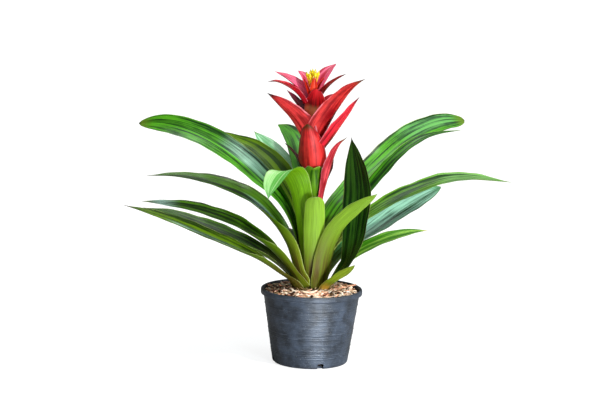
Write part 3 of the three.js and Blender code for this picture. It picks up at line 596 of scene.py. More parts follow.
class Nodes:
    """The node tree of a material or a world, with a short call for each kind of node that is used.
    Where a call takes a vector, it may be a tuple of up to three values or signals."""

    def __init__(self, owner):
        self.owner = owner
        owner.use_nodes = True
        self.tree = owner.node_tree
        self.tree.nodes.clear()

    def add(self, kind, **settings):
        node = self.tree.nodes.new(kind)
        for key, value in settings.items():
            setattr(node, key, value)
        return node

    def out(self, node, output=0):
        return Signal(self, node.outputs[output])

    def join(self, socket, source):
        """Feeds a socket from a signal, or sets it to a value."""
        if isinstance(source, Signal):
            self.tree.links.new(source.socket, socket)
        else:
            socket.default_value = source

    def maths(self, operation, *sources):
        node = self.add("ShaderNodeMath", operation=operation)
        for socket, source in zip(node.inputs, sources):
            self.join(socket, source)
        return self.out(node)

    def vector(self, place):
        if isinstance(place, Signal):
            return place
        node = self.add("ShaderNodeCombineXYZ")
        for socket, source in zip(node.inputs, place):
            self.join(socket, source)
        return self.out(node)

    def parts(self, vector):
        node = self.add("ShaderNodeSeparateXYZ")
        self.join(node.inputs[0], vector)
        return [self.out(node, axis) for axis in range(3)]

    def noise(self, place, scale=1.0, detail=2.0, roughness=0.5, distortion=0.0):
        node = self.add("ShaderNodeTexNoise")
        self.join(node.inputs["Vector"], self.vector(place))
        node.inputs["Scale"].default_value = scale
        node.inputs["Detail"].default_value = detail
        node.inputs["Roughness"].default_value = roughness
        node.inputs["Distortion"].default_value = distortion
        return self.out(node, "Fac")

    def cells(self, place, scale=1.0):
        node = self.add("ShaderNodeTexVoronoi")
        self.join(node.inputs["Vector"], self.vector(place))
        node.inputs["Scale"].default_value = scale
        return self.out(node, "Distance")

    def ramp(self, value, low, high, start, end, kind="LINEAR"):
        """Goes from start to end while the value goes from low to high."""
        node = self.add("ShaderNodeMapRange", interpolation_type=kind)
        self.join(node.inputs["Value"], value)
        node.inputs["From Min"].default_value = low
        node.inputs["From Max"].default_value = high
        node.inputs["To Min"].default_value = start
        node.inputs["To Max"].default_value = end
        return self.out(node, "Result")

    def between(self, value, low, high):
        """0 below low, 1 above high; low may be above high, and then it falls."""
        if low < high:
            return self.ramp(value, low, high, 0.0, 1.0, "SMOOTHSTEP")
        return self.ramp(value, high, low, 1.0, 0.0, "SMOOTHSTEP")

    def blend(self, share, first, second):
        node = self.add("ShaderNodeMix", data_type="RGBA")
        self.join(node.inputs["Factor"], share)
        self.join(node.inputs[6], first)
        self.join(node.inputs[7], second)
        return self.out(node, 2)

    def shade(self, colour, amount):
        """A colour made darker or lighter by a factor."""
        node = self.add("ShaderNodeHueSaturation")
        self.join(node.inputs["Color"], colour)
        self.join(node.inputs["Value"], amount)
        return self.out(node)

    def place(self):
        """Where a point lies on its blade: share of the width and share of the length."""
        side, along, _ = self.parts(self.out(self.add("ShaderNodeUVMap", uv_map="place")))
        return side, along

    def attribute(self, name):
        return self.out(self.add("ShaderNodeAttribute", attribute_name=name), "Fac")

    def position(self, scale=1000.0):
        """The point's place on the object, in millimetres."""
        node = self.add("ShaderNodeVectorMath", operation="SCALE")
        self.join(node.inputs[0], self.out(self.add("ShaderNodeTexCoord"), "Object"))
        node.inputs["Scale"].default_value = scale
        return self.out(node)

    def surface(self, colour, roughness, height=None, relief=0.3, depth=0.0004, **others):
        """Ends a material: one Principled shader, with bump from a height."""
        shader = self.add("ShaderNodeBsdfPrincipled")
        self.join(shader.inputs["Base Color"], colour)
        self.join(shader.inputs["Roughness"], roughness)
        for key, value in others.items():
            self.join(shader.inputs[key.replace("_", " ")], value)
        if height is not None:
            bump = self.add("ShaderNodeBump")
            bump.inputs["Strength"].default_value = relief
            bump.inputs["Distance"].default_value = depth
            self.join(bump.inputs["Height"], height)
            self.join(shader.inputs["Normal"], self.out(bump))
        end = self.add("ShaderNodeOutputMaterial")
        self.join(end.inputs[0], self.out(shader))
        return self.owner


def new_look(name):
    return Nodes(bpy.data.materials.new(name))


def leaf_material(name, look, length, width, seed, painted_sheen=None):
    """A strap leaf: parallel veins, broad stripes, mottled green, pale margins that also carry a painted
    edge highlight, an olive sheath with brown streaks and, where it has one, a pale bluish sheen
    painted on the upper side as a highlight."""
    n = new_look(name)
    side, along = n.place()
    upper = n.attribute("upper")
    veins = width * 0.9
    streaks = n.noise((side * veins, along * (length / 90), seed), detail=3, roughness=0.6)
    fine = n.noise((side * (veins * 3), along * (length / 30), seed + 5), detail=2, roughness=0.6)
    patches = n.noise((side * 1.6, along * (length / 45), seed + 9), detail=3, roughness=0.55)
    stripes = n.noise((side * (width / 4.5), along * (length / 130), seed + 13), detail=1)
    tone = streaks * 0.3 + patches * 0.2 + stripes * 0.5
    green = n.blend(n.between(tone, 0.42, 0.58), look["dark"], look["light"])
    below = n.shade(look["under"], streaks * 1.5 + 0.28)
    colour = n.blend(upper, below, green)
    # A pale bluish sheen, painted onto the upper side as a highlight where the leaf has one.
    if painted_sheen:
        start, end, near, far, strength = painted_sheen
        amount = n.between(along, start, start + 0.12) * n.between(along, end, end - 0.1)
        amount *= n.between(side, near - 0.1, near + 0.12) * n.between(side, far + 0.1, far - 0.12)
        amount *= upper * n.between(tone, 0.36, 0.58) * strength
        colour = n.blend(amount, colour, PAINTED_SHEEN_COLOUR)
    worn = stripes * 0.6 + streaks * 0.4
    sheath = n.blend(n.between(worn, 0.46, 0.62), look["sheath"], SHEATH_STREAK_COLOUR)
    fade = along + (patches - 0.5) * 0.16
    reach = look.get("sheath_reach", 0.34)
    colour = n.blend(n.between(fade, reach, 0.06), colour, sheath)
    colour = n.shade(colour, fine + 0.5)
    colour = n.blend(n.between(along, 0.93, 0.995), colour, look["tip"])
    off = n.maths("ABSOLUTE", side * 2.0 - 1.0)
    # The pale margin: partly the leaf's own paler edge, partly a painted highlight along it.
    rim = n.between(off, 0.955, 0.99) * n.between(patches, 0.3, 0.62)
    colour = n.blend(rim * 0.8, colour, LEAF_MARGIN_HIGHLIGHT_COLOUR)
    specks = n.cells((side * (width / 3), along * (length / 5), seed))
    spotted = n.between(specks, 0.13, 0.05) * n.between(patches, 0.56, 0.68)
    colour = n.blend(spotted * 0.7, colour, LEAF_SPECK_COLOUR)
    rough = (1.0 - upper) * 0.1 + fine * 0.16 + (look["rough"] - 0.08)
    ridges = fine * 0.4 + streaks
    return n.surface(colour, rough, ridges, relief=0.5, depth=0.0006, Specular_IOR_Level=0.17)


def bract_material(name, look, length, width, seed):
    """A bract: satin, finely veined, darker at its foot and tip, with a thin pale margin in places
    that is painted as a pink highlight.
    """
    n = new_look(name)
    side, along = n.place()
    veins = max(width * 1.1, 12)
    streaks = n.noise((side * veins, along * (length / 60), seed), detail=3, roughness=0.6)
    fine = n.noise((side * (veins * 3), along * (length / 16), seed + 4), detail=2, roughness=0.6)
    patches = n.noise((side * 2.0, along * (length / 30), seed + 8), detail=3, roughness=0.55)
    stripes = n.noise((side * (width / 4), along * (length / 70), seed + 11), detail=1)
    tone = streaks * 0.25 + patches * 0.35 + stripes * 0.4
    colour = n.blend(n.between(tone, 0.4, 0.58), look["dark"], look["light"])
    colour = n.shade(colour, fine * 0.8 + 0.6)
    foot = (patches - 0.5) * 0.2 + along
    reach = look.get("foot_reach", 0.3)
    colour = n.blend(n.between(foot, reach, reach - 0.24), colour, look["foot"])
    end = (streaks - 0.5) * 0.12 + along
    colour = n.blend(n.between(end, 0.84, 0.97), colour, look["tip"])
    off = n.maths("ABSOLUTE", side * 2.0 - 1.0)
    # The thin pale margin in places, painted as a pink highlight.
    edge = n.between(off, 0.9, 0.98) * n.between(patches, 0.4, 0.6)
    colour = n.blend(edge * 0.7, colour, BRACT_MARGIN_HIGHLIGHT_COLOUR)
    ridges = fine * 0.4 + streaks
    return n.surface(
        colour, fine * 0.18 + 0.3, ridges, relief=0.45, depth=0.0005, Specular_IOR_Level=0.24
    )


def pot_material():
    """Dark grey moulded plastic: fine horizontal lines with a painted highlight on their ridges and a
    painted shade in their grooves, scuffs, and a little pale dust.
    """
    n = new_look("pot_plastic_look")
    place = n.position()
    x, y, z = n.parts(place)
    rings = n.noise((0.0, 0.0, z * 0.55), detail=4, roughness=0.7)
    lines = n.noise((0.0, 0.0, z * 1.3), detail=2)
    grain = n.noise(place, scale=1.1, detail=3, roughness=0.6)
    cloud = n.noise(place, scale=0.05, detail=4, roughness=0.6)
    dust = n.noise(place, scale=0.9, detail=1)
    scuffs = n.noise((x * 0.06, y * 0.06, z * 0.9), detail=3, roughness=0.65, distortion=0.6)
    colour = n.blend(n.between(cloud, 0.3, 0.7), paint(26, 30, 36), paint(56, 64, 76))
    colour = n.blend(n.between(scuffs, 0.58, 0.72) * 0.35, colour, paint(112, 120, 130))
    colour = n.blend(n.between(dust, 0.7, 0.76) * 0.5, colour, paint(150, 152, 150))
    # The fine horizontal lines: a painted highlight on their ridges and a painted shade in their
    # grooves.
    colour = n.blend(n.between(lines, 0.6, 0.72) * 0.5, colour, paint(96, 104, 116))
    colour = n.blend(n.between(lines, 0.36, 0.26) * 0.6, colour, paint(14, 16, 20))
    height = lines * 1.2 + rings + scuffs * 0.4 + grain * 0.15
    return n.surface(
        colour, scuffs * 0.25 + 0.26, height, relief=0.6, depth=0.0006, Specular_IOR_Level=0.45
    )


def mix_material():
    """Damp peat mix: nearly black crumbs with paler grains."""
    n = new_look("potting_mix_look")
    place = n.position()
    crumbs = n.noise(place, scale=0.6, detail=5, roughness=0.7)
    grains = n.cells(place, scale=0.35)
    colour = n.blend(n.between(crumbs, 0.35, 0.7), paint(24, 17, 12), paint(70, 50, 34))
    colour = n.blend(n.between(grains, 0.16, 0.08), colour, paint(170, 160, 140))
    return n.surface(colour, 0.9, crumbs, relief=0.8, depth=0.0015)


def bed_material():
    """The shaded bottom of the husk layer."""
    n = new_look("husk_bed_look")
    place = n.position()
    crumbs = n.noise(place, scale=0.35, detail=5, roughness=0.7)
    fibres = n.noise(place, scale=0.14, detail=4, roughness=0.75, distortion=2.5)
    colour = n.blend(n.between(crumbs, 0.3, 0.7), paint(30, 17, 10), paint(96, 58, 34))
    colour = n.blend(n.between(fibres, 0.56, 0.66), colour, paint(150, 98, 62))
    return n.surface(colour, 0.9, crumbs, relief=0.9, depth=0.002)


def chip_material():
    """Husk chips: every chip has its own tone, from nearly black to salmon and cream, with fibres."""
    n = new_look("husk_chip_look")
    side, along = n.place()
    tone = n.attribute("tone")
    fibres = n.noise((side * 26.0, along * 2.0, tone * 40.0), detail=3, roughness=0.6)
    pith = n.noise((side * 5.0, along * 3.0, tone * 70.0), detail=3, roughness=0.6)
    ramp = n.add("ShaderNodeValToRGB")
    n.join(ramp.inputs[0], tone)
    stops = ramp.color_ramp.elements
    while len(stops) < len(CHIP_COLOURS):
        stops.new(0.5)
    for i, colour in enumerate(CHIP_COLOURS):
        stops[i].position = i / (len(CHIP_COLOURS) - 1)
        stops[i].color = colour
    colour = n.shade(n.out(ramp), fibres * 0.9 + 0.72)
    colour = n.blend(n.between(pith, 0.56, 0.7) * 0.5, colour, paint(92, 48, 30))
    return n.surface(colour, fibres * 0.2 + 0.7, fibres, relief=0.8, depth=0.0008)


def fibre_material():
    """Straw-coloured fibres and dry old roots."""
    n = new_look("husk_fibre_look")
    side, along = n.place()
    tone = n.attribute("tone")
    bands = n.noise((side * 4.0, along * 9.0, tone), detail=3)
    colour = n.blend(tone, paint(112, 70, 42), paint(222, 190, 140))
    colour = n.shade(colour, bands * 0.6 + 0.7)
    return n.surface(colour, 0.75, bands, relief=0.5, depth=0.0003)


def stem_material():
    """The scape and caudex: olive with brown streaks and bands of red brown."""
    n = new_look("stem_look")
    side, along = n.place()
    streaks = n.noise((side * 30.0, along * 8.0), detail=3)
    bands = n.noise((0.0, along * 26.0), detail=2)
    colour = n.blend(n.between(streaks, 0.35, 0.65), paint(86, 78, 30), paint(146, 146, 62))
    colour = n.blend(n.between(bands, 0.52, 0.66), colour, paint(120, 46, 40))
    return n.surface(colour, streaks * 0.2 + 0.4, streaks, relief=0.4, depth=0.0004)


def flower_material():
    """Waxy yellow petals, orange at the foot and nearly white at the lip, with faint veins."""
    n = new_look("flower_look")
    side, along = n.place()
    veins = n.noise((side * 14.0, along * 2.0), detail=3)
    colour = n.blend(n.between(along, 0.1, 0.55), paint(226, 120, 18), paint(250, 218, 22))
    colour = n.blend(n.between(along, 0.9, 1.0), colour, paint(255, 246, 170))
    colour = n.shade(colour, veins * 0.4 + 0.8)
    return n.surface(
        colour, veins * 0.2 + 0.3, veins, relief=0.3, depth=0.0002,
        Subsurface_Weight=0.2, Subsurface_Scale=0.002,
    )


def stamen_material():
    """The dark anthers that show between the petals."""
    n = new_look("stamen_look")
    grain = n.noise(n.position(), scale=2.0, detail=3)
    colour = n.blend(n.between(grain, 0.35, 0.65), paint(84, 66, 10), paint(176, 150, 30))
    return n.surface(colour, 0.6, grain, relief=0.5, depth=0.0002)


def value_along(values, t):
    """Values between evenly spaced ones, on a smooth curve through them."""
    values = np.asarray(values, float)
    place = np.clip(t, 0, 1) * (len(values) - 1)
    i = np.minimum(np.floor(place).astype(int), len(values) - 2)
    f = place - i
    before = values[np.maximum(i - 1, 0)]
    here = values[i]
    following = values[i + 1]
    after = values[np.minimum(i + 2, len(values) - 1)]
    slope_here = (following - before) / 2
    slope_next = (after - here) / 2
    return (
        (2 * f**3 - 3 * f**2 + 1) * here
        + (f**3 - 2 * f**2 + f) * slope_here
        + (3 * f**2 - 2 * f**3) * following
        + (f**3 - f**2) * slope_next
    )


def smoothstep(value, low, high):
    """0 below low, 1 above high, and a soft step between them."""
    share = np.clip((value - low) / (high - low), 0, 1)
    return share * share * (3 - 2 * share)


class Midrib:
    """A centripetal Catmull-Rom curve through points, read by share of its length."""

    def __init__(self, points):
        points = [np.asarray(p, float) for p in points]
        points = [2 * points[0] - points[1], *points, 2 * points[-1] - points[-2]]
        dense = []
        for a, b, c, d in zip(points, points[1:], points[2:], points[3:]):
            dense.append(self.piece(a, b, c, d, np.linspace(0, 1, 41)[:-1]))
        dense.append(points[-2][None])
        self.points = np.vstack(dense)
        steps = np.linalg.norm(np.diff(self.points, axis=0), axis=1)
        self.lengths = np.concatenate([[0], np.cumsum(steps)])
        self.length = self.lengths[-1]

    @staticmethod
    def piece(a, b, c, d, f):
        first = np.linalg.norm(b - a) ** 0.5
        second = np.linalg.norm(c - b) ** 0.5
        third = np.linalg.norm(d - c) ** 0.5
        start = ((b - a) / first - (c - a) / (first + second) + (c - b) / second) * second
        end = ((c - b) / second - (d - b) / (second + third) + (d - c) / third) * second
        f = f[:, None]
        return (
            b + start * f + (3 * (c - b) - 2 * start - end) * f**2 + (2 * (b - c) + start + end) * f**3
        )

    def at(self, t):
        where = np.asarray(t) * self.length
        return np.stack([np.interp(where, self.lengths, self.points[:, k]) for k in range(3)], 1)

    def tangent(self, t):
        step = 0.004
        ahead = self.at(np.minimum(np.asarray(t) + step, 1))
        behind = self.at(np.maximum(np.asarray(t) - step, 0))
        way = ahead - behind
        return way / np.linalg.norm(way, axis=1)[:, None]


def turned_about(vectors, axes, angles):
    """Each vector turned about its own unit axis."""
    cos = np.cos(angles)[:, None]
    sin = np.sin(angles)[:, None]
    along = (vectors * axes).sum(1)[:, None]
    return vectors * cos + np.cross(axes, vectors) * sin + axes * along * (1 - cos)


def scape_offset(height):
    """The sideways place of the leaning scape at a height."""
    t = max(0.0, (height - CAUDEX_TOP) / (SCAPE_TOP - CAUDEX_TOP))
    return SCAPE_LEAN * t**1.3


def caudex_height(radius):
    """The height of the caudex's sloping shoulder at a radius."""
    t = (CAUDEX_RADIUS - radius) / (CAUDEX_RADIUS - SCAPE_RADIUS)
    return CAUDEX_SHOULDER + t * (CAUDEX_TOP - CAUDEX_SHOULDER)


def make_object(name, points, faces, places=None, numbers=None):
    """A smooth-shaded mesh object in the scene, from points in millimetres. places: one (width share,
    length share) per point. numbers: {name: one number per face}."""
    mesh = bpy.data.meshes.new(name)
    mesh.from_pydata((np.asarray(points) * MM).tolist(), [], faces)
    mesh.validate()
    mesh.polygons.foreach_set("use_smooth", [True] * len(mesh.polygons))
    if places is not None:
        layer = mesh.uv_layers.new(name="place")
        corner_points = np.zeros(len(mesh.loops), int)
        mesh.loops.foreach_get("vertex_index", corner_points)
        layer.data.foreach_set("uv", np.asarray(places, float)[corner_points].ravel())
    for key, values in (numbers or {}).items():
        attribute = mesh.attributes.new(key, "FLOAT", "FACE")
        attribute.data.foreach_set("value", np.asarray(values, float))
    mesh.update()
    made = bpy.data.objects.new(name, mesh)
    bpy.context.scene.collection.objects.link(made)
    return made


def facing_out(points, faces):
    """The faces of a closed mesh, turned so that they point outwards."""
    points = np.asarray(points, float)
    total = 0.0
    for face in faces:
        first = points[face[0]]
        for i in range(1, len(face) - 1):
            total += np.dot(first, np.cross(points[face[i]], points[face[i + 1]]))
    if total < 0:
        return [tuple(reversed(face)) for face in faces]
    return faces


def tube_faces(start, rows, around, inward=False):
    """The faces round rings of points that follow each other, and a flat face at each end."""
    faces = []
    for i in range(rows - 1):
        for j in range(around):
            a = start + i * around + j
            b = start + i * around + (j + 1) % around
            c = b + around
            d = a + around
            faces.append((a, d, c, b) if inward else (a, b, c, d))
    last = start + (rows - 1) * around
    first_end = tuple(range(start, start + around))
    last_end = tuple(range(last, last + around))
    faces.append(first_end if inward else first_end[::-1])
    faces.append(last_end[::-1] if inward else last_end)
    return faces


def settle(piece, node, material):
    """Fixes a finished piece to the part in place of a CAD node, which it hides, and gives it the
    material passed in. The node's material slot is looked up but not used.
    """
    wear(piece, material)
    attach(piece, "root")
    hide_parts(node)
    slot_of(node)


def wear(piece, material):
    piece.data.materials.clear()
    piece.data.materials.append(material)


def slot_of(node):
    """The record's material slot of a CAD node."""
    for part in frame["record"]["subparts"]:
        if part["node"] == node:
            return part["material_slot"]
    raise ValueError(node)


def blade_midrib(blade):
    """The midrib of a blade, and the level direction across it."""
    azimuth = math.radians(blade["azimuth"])
    outward = np.array([math.cos(azimuth), math.sin(azimuth), 0])
    across = np.array([-math.sin(azimuth), math.cos(azimuth), 0])
    points = []
    for reach, height, *shift in blade["path"]:
        spot = outward * reach + across * (shift[0] if shift else 0)
        points.append(spot + (blade["offset"], 0, height))
    return Midrib(points), across


def blade_faces(rows, columns):
    """The faces of a blade from its foot to the point at its tip, and whether each is an upper one."""
    ring = 2 * columns - 2
    tip = rows * ring
    faces = []
    upper = []
    for i in range(rows):
        for j in range(ring):
            a = i * ring + j
            b = i * ring + (j + 1) % ring
            end = (b + ring, a + ring) if i + 1 < rows else (tip,)
            faces.append((a, b, *end))
            upper.append(float(j < columns - 1))
    faces.append(tuple(reversed(range(ring))))
    upper.append(0.0)
    return faces, upper


def margin_wave(turns, phase, faster_phase):
    """A slow wave and a weaker, faster one."""
    slow = np.sin(2 * math.pi * turns + phase)
    return slow + 0.5 * np.sin(4.6 * math.pi * turns + faster_phase)


def blade_mesh(name, blade, rows=88, columns=17):
    """A leaf or a bract: a thin closed section carried along its midrib, troughed towards the plant,
    with a slightly wavy margin. Returns the object and the length of its midrib."""
    midrib, across = blade_midrib(blade)
    t = np.linspace(0, 1, rows + 1)[:-1]
    t = t * (1 - 0.25 / rows) + (0.25 / rows) * t**3
    centre = midrib.at(t)
    way = midrib.tangent(t)
    wide = across - way * (way @ across)[:, None]
    wide /= np.linalg.norm(wide, axis=1)[:, None]
    wide = turned_about(wide, way, np.radians(value_along(blade["roll"], t)))
    up = np.cross(way, wide)
    reach = np.hypot(centre[:, 0] - blade["offset"], centre[:, 1])
    sheath = 1 - smoothstep(t, SHEATH_START, SHEATH_END)
    outline = value_along(blade["outline"], t) * np.sqrt(1 - np.clip((t - 0.94) / 0.06, 0, 1) ** 2)
    outline = np.maximum(outline, 0.004)
    half = blade["width"] / 2 * outline
    half += (np.minimum(half, np.radians(blade["wrap"]) * reach) - half) * sheath
    opening = np.radians(value_along(blade["channel"], t))
    trough = opening + (half / reach - opening) * sheath
    radius = (half / trough)[:, None]
    front = blade["front"] * (1 - smoothstep(t, 0.12, 0.5))
    depth = blade["thickness"] / 2 * np.minimum(1, outline + 0.2)
    free = ((1 - sheath) * smoothstep(t, 0.2, 0.5))[:, None]
    phase = np.random.default_rng(blade["seed"]).uniform(0, 2 * math.pi, 4)
    turns = midrib.length / blade["wave_length"] * t
    left = margin_wave(turns, phase[0], phase[1])[:, None]
    right = margin_wave(turns, phase[2], phase[3])[:, None]
    side = np.sin(np.linspace(-math.pi / 2, math.pi / 2, columns))

    def section(shares, thickness_side):
        s = shares[None, :]
        wider = 1 + np.abs(front)[:, None] * (s * np.sign(blade["front"]) > 0)
        turn = s * trough[:, None] * wider
        lift = thickness_side * depth[:, None] * (1 - s**2)
        sideways = (radius - lift) * np.sin(turn)
        rise = radius - (radius - lift) * np.cos(turn)
        rise += blade["keel"] * half[:, None] * np.abs(s)
        ripple = np.where(s < 0, left, right) * s**2
        rise += blade["wave"] * free * ripple * (half / half.max())[:, None]
        rise -= blade["groove"] * free * np.exp(-((s / 0.07) ** 2))
        place = centre[:, None, :] + wide[:, None, :] * sideways[..., None]
        return place + up[:, None, :] * rise[..., None]

    under = side[1:-1][::-1]
    grid = np.concatenate([section(side, 1.0), section(under, -1.0)], 1).reshape(-1, 3)
    points = np.vstack([grid, midrib.at([1.0])])
    share = np.concatenate([side, under]) / 2 + 0.5
    places = np.full((len(points), 2), (0.5, 1.0))
    places[:-1, 0] = np.tile(share, rows)
    places[:-1, 1] = np.repeat(t, len(share))
    faces, upper = blade_faces(rows, columns)
    made = make_object(name, points, facing_out(points, faces), places, {"upper": upper})
    return made, midrib.length





def add_leaf(row, seed):
    """A leaf, which stands on the shoulder of the caudex."""
    ring = row["ring"]
    leaf = {**USUAL_LEAF, **row, "seed": seed}
    leaf["path"] = [(ring, caudex_height(ring - 1.0) + 0.3), *row["path"]]
    piece, length = blade_mesh(row["name"] + "_blade", leaf)
    look = painted(LEAF_LOOKS[row["look"]])
    name = row["name"] + "_look"
    material = leaf_material(name, look, length, row["width"], seed * 3.7, leaf["painted_sheen"])
    settle(piece, row["name"], material)


def add_bract(row, seed):
    """A bract, which stands on the leaning scape."""
    bract = {**USUAL_BRACT, **row, "seed": seed}
    bract["offset"] = scape_offset(row["path"][0][1])
    piece, length = blade_mesh(row["name"] + "_blade", bract, rows=56)
    look = painted(BRACT_LOOKS[row["look"]])
    material = bract_material(row["name"] + "_look", look, length, row["width"], seed * 5.3)
    settle(piece, row["name"], material)


def wall_radius(height):
    """The radius of the pot's tapered wall at a height."""
    return POT_BASE_RADIUS + (POT_NECK_RADIUS - POT_BASE_RADIUS) * height / (POT_HEIGHT - RIM_BAND)


def rib_offset(height):
    """How far the ribs stand out of the wall at a height: each one is a small step with a round top."""
    out = 0.0
    for middle, depth in POT_RIBS:
        out += depth * math.exp(-(((height - middle) / 0.75) ** 2))
    return out


def pot_profile():
    """The pot's section, from the middle of its underside round the wall and rim to its inner floor."""
    neck = POT_HEIGHT - RIM_BAND
    profile = [(0.01, 0.0), (POT_BASE_RADIUS - 14, 0.0), (POT_BASE_RADIUS - 3.0, 0.0)]
    profile += [(POT_BASE_RADIUS - 1.6, 0.25), (POT_BASE_RADIUS - 0.5, 1.1), (wall_radius(2.6), 2.6)]
    height = 3.4
    while height < neck - 1:
        profile.append((wall_radius(height) + rib_offset(height), height))
        height += 0.7
    profile += [
        (wall_radius(neck - 0.5), neck - 0.5),
        (wall_radius(neck) + 0.5, neck + 0.1),
        (POT_RIM_RADIUS - 1.4, neck + 0.2),
        (POT_RIM_RADIUS - 0.5, neck + 0.6),
        (POT_RIM_RADIUS - 0.05, neck + 1.6),
        (POT_RIM_RADIUS - 0.1, neck + 3.4),
        (POT_RIM_RADIUS - 0.05, neck + 5.4),
        (POT_RIM_RADIUS - 0.3, POT_HEIGHT - 1.6),
        (POT_RIM_RADIUS - 0.9, POT_HEIGHT - 0.6),
        (POT_RIM_RADIUS - 1.8, POT_HEIGHT - 0.1),
        (POT_RIM_RADIUS - 2.8, POT_HEIGHT),
        (POT_NECK_RADIUS + 0.5, POT_HEIGHT - 0.7),
        (POT_NECK_RADIUS - 0.6, POT_HEIGHT - 2.6),
        (wall_radius(neck) - POT_WALL, neck),
        (wall_radius(50) - POT_WALL, 50),
        (wall_radius(POT_FLOOR + 1.5) - POT_WALL, POT_FLOOR + 1.5),
        (wall_radius(POT_FLOOR) - POT_WALL - 1.5, POT_FLOOR),
        (0.01, POT_FLOOR),
    ]
    return profile


def turned(name, profile, steps):
    """A closed body turned round the vertical axis."""
    points = []
    places = []
    for i, (radius, height) in enumerate(profile):
        for j in range(steps):
            turn = 2 * math.pi * j / steps
            points.append((radius * math.cos(turn), radius * math.sin(turn), height))
            places.append((j / steps, i / (len(profile) - 1)))
    faces = facing_out(points, tube_faces(0, len(profile), steps))
    return make_object(name, points, faces, places)


def cut_notches(pot):
    """Cuts the drainage notches into the foot of the pot and applies the cuts."""
    cutters = []
    for i in range(DRAIN_COUNT):
        turn = math.radians(FIRST_DRAIN_AZIMUTH + i * 360 / DRAIN_COUNT)
        bpy.ops.mesh.primitive_cube_add(size=1)
        cutter = bpy.context.object
        cutter.scale = (DRAIN_DEPTH * MM, DRAIN_WIDTH * MM, DRAIN_HEIGHT * 2 * MM)
        middle = (POT_BASE_RADIUS - 1) * MM
        cutter.location = (middle * math.cos(turn), middle * math.sin(turn), 0)
        cutter.rotation_euler = (0, 0, turn)
        cut = pot.modifiers.new("notch", "BOOLEAN")
        cut.operation = "DIFFERENCE"
        cut.solver = "EXACT"
        cut.object = cutter
        cutters.append(cutter)
    bpy.context.view_layer.update()
    graph = bpy.context.evaluated_depsgraph_get()
    cut_mesh = bpy.data.meshes.new_from_object(pot.evaluated_get(graph))
    pot.modifiers.clear()
    pot.data = cut_mesh
    for cutter in cutters:
        bpy.data.objects.remove(cutter)


def add_pot():
    pot = turned("pot_shell", pot_profile(), 168)
    cut_notches(pot)
    bpy.context.view_layer.objects.active = pot
    pot.select_set(True)
    bpy.ops.object.shade_auto_smooth(angle=math.radians(38))
    pot.select_set(False)
    settle(pot, "pot", pot_material())


def husk_height(radius, turn):
    """The uneven top of the husk layer."""
    t = min(max((radius - HUSK_HOLE_RADIUS) / (HUSK_OUTER_RADIUS - HUSK_HOLE_RADIUS), 0), 1)
    bump = math.sin(turn * 5 + radius * 0.3) * 0.9 + math.sin(turn * 11 - radius * 0.55) * 0.7
    return HUSK_MOUND - 2.2 + (HUSK_EDGE - HUSK_MOUND) * t * t + bump


def add_husk_bed():
    """The dark uneven layer that the chips lie on."""
    around = 160
    rows = 30
    points = []
    inner = CAUDEX_RADIUS + 0.6
    for i in range(rows + 1):
        radius = inner + (HUSK_OUTER_RADIUS - inner) * i / rows
        for j in range(around):
            turn = 2 * math.pi * j / around
            height = husk_height(radius, turn) + random.uniform(-0.7, 0.7)
            if i == rows:
                height -= 1.0
            points.append((radius * math.cos(turn), radius * math.sin(turn), height))
    for radius in (HUSK_OUTER_RADIUS - 1, inner):
        for j in range(around):
            turn = 2 * math.pi * j / around
            points.append((radius * math.cos(turn), radius * math.sin(turn), MIX_TOP + 0.3))
    faces = []
    for i in range(rows + 3):
        first = i * around
        second = (i + 1) % (rows + 3) * around
        for j in range(around):
            k = (j + 1) % around
            faces.append((first + j, first + k, second + k, second + j))
    bed = make_object("husk_bed", points, facing_out(points, faces))
    settle(bed, "husk_mulch", bed_material())


def frame_of(way, up):
    """Three unit vectors at right angles: along, across and upwards."""
    way = Vector(way).normalized()
    across = Vector(up).cross(way).normalized()
    return way, across, way.cross(across)


class Heap:
    """Small closed shapes that are gathered into one mesh, each in its own tone. Those of the husk
    and the stamens face inwards, which their two-sided materials don't show."""

    def __init__(self, inward=True):
        self.inward = inward
        self.points = []
        self.places = []
        self.faces = []
        self.tones = []

    def ring(self, centre, across, normal, radius, share, around):
        """Adds a ring of points, at a share of the length of its shape."""
        for j in range(around):
            turn = 2 * math.pi * j / around
            away = across * math.cos(turn) + normal * math.sin(turn)
            self.points.append(tuple(centre + away * radius))
            self.places.append((j / around, share))

    def close(self, rows, around, tone):
        """Makes one closed shape of the last rings."""
        faces = tube_faces(len(self.points) - rows * around, rows, around, self.inward)
        self.faces += faces
        self.tones += [tone] * len(faces)

    def make(self, name):
        return make_object(name, self.points, self.faces, self.places, {"tone": self.tones})


def add_chip(heap, centre, way, up, size, tone):
    """A splintered chip of husk: a flat lump with ragged ends."""
    along, across, normal = frame_of(way, up)
    length, width, thick = size
    around = 8
    rows = 5
    bend = random.uniform(-0.18, 0.18) * length
    for i in range(rows):
        share = i / (rows - 1)
        taper = 0.35 + 0.65 * math.sin(math.pi * (0.12 + 0.76 * share)) ** 0.6
        for j in range(around):
            turn = 2 * math.pi * j / around
            jag = random.uniform(0.72, 1.2)
            ragged = random.uniform(-0.13, 0.13) * length if i in (0, rows - 1) else 0
            spot = (
                Vector(centre)
                + along * ((share - 0.5) * length + ragged)
                + across * (math.cos(turn) * width / 2 * taper * jag)
                + normal * (math.sin(turn) * thick / 2 * taper * jag + bend * (share - 0.5) ** 2 * 4)
            )
            heap.points.append(tuple(spot))
            heap.places.append((j / around, share))
    heap.close(rows, around, tone)


def chip_tone():
    """Half of the chips are cream, some are salmon and a few are nearly black."""
    pick = random.random()
    if pick < 0.2:
        return random.uniform(0.0, 0.2)
    if pick < 0.5:
        return random.uniform(0.42, 0.76)
    return random.uniform(0.76, 1.0)


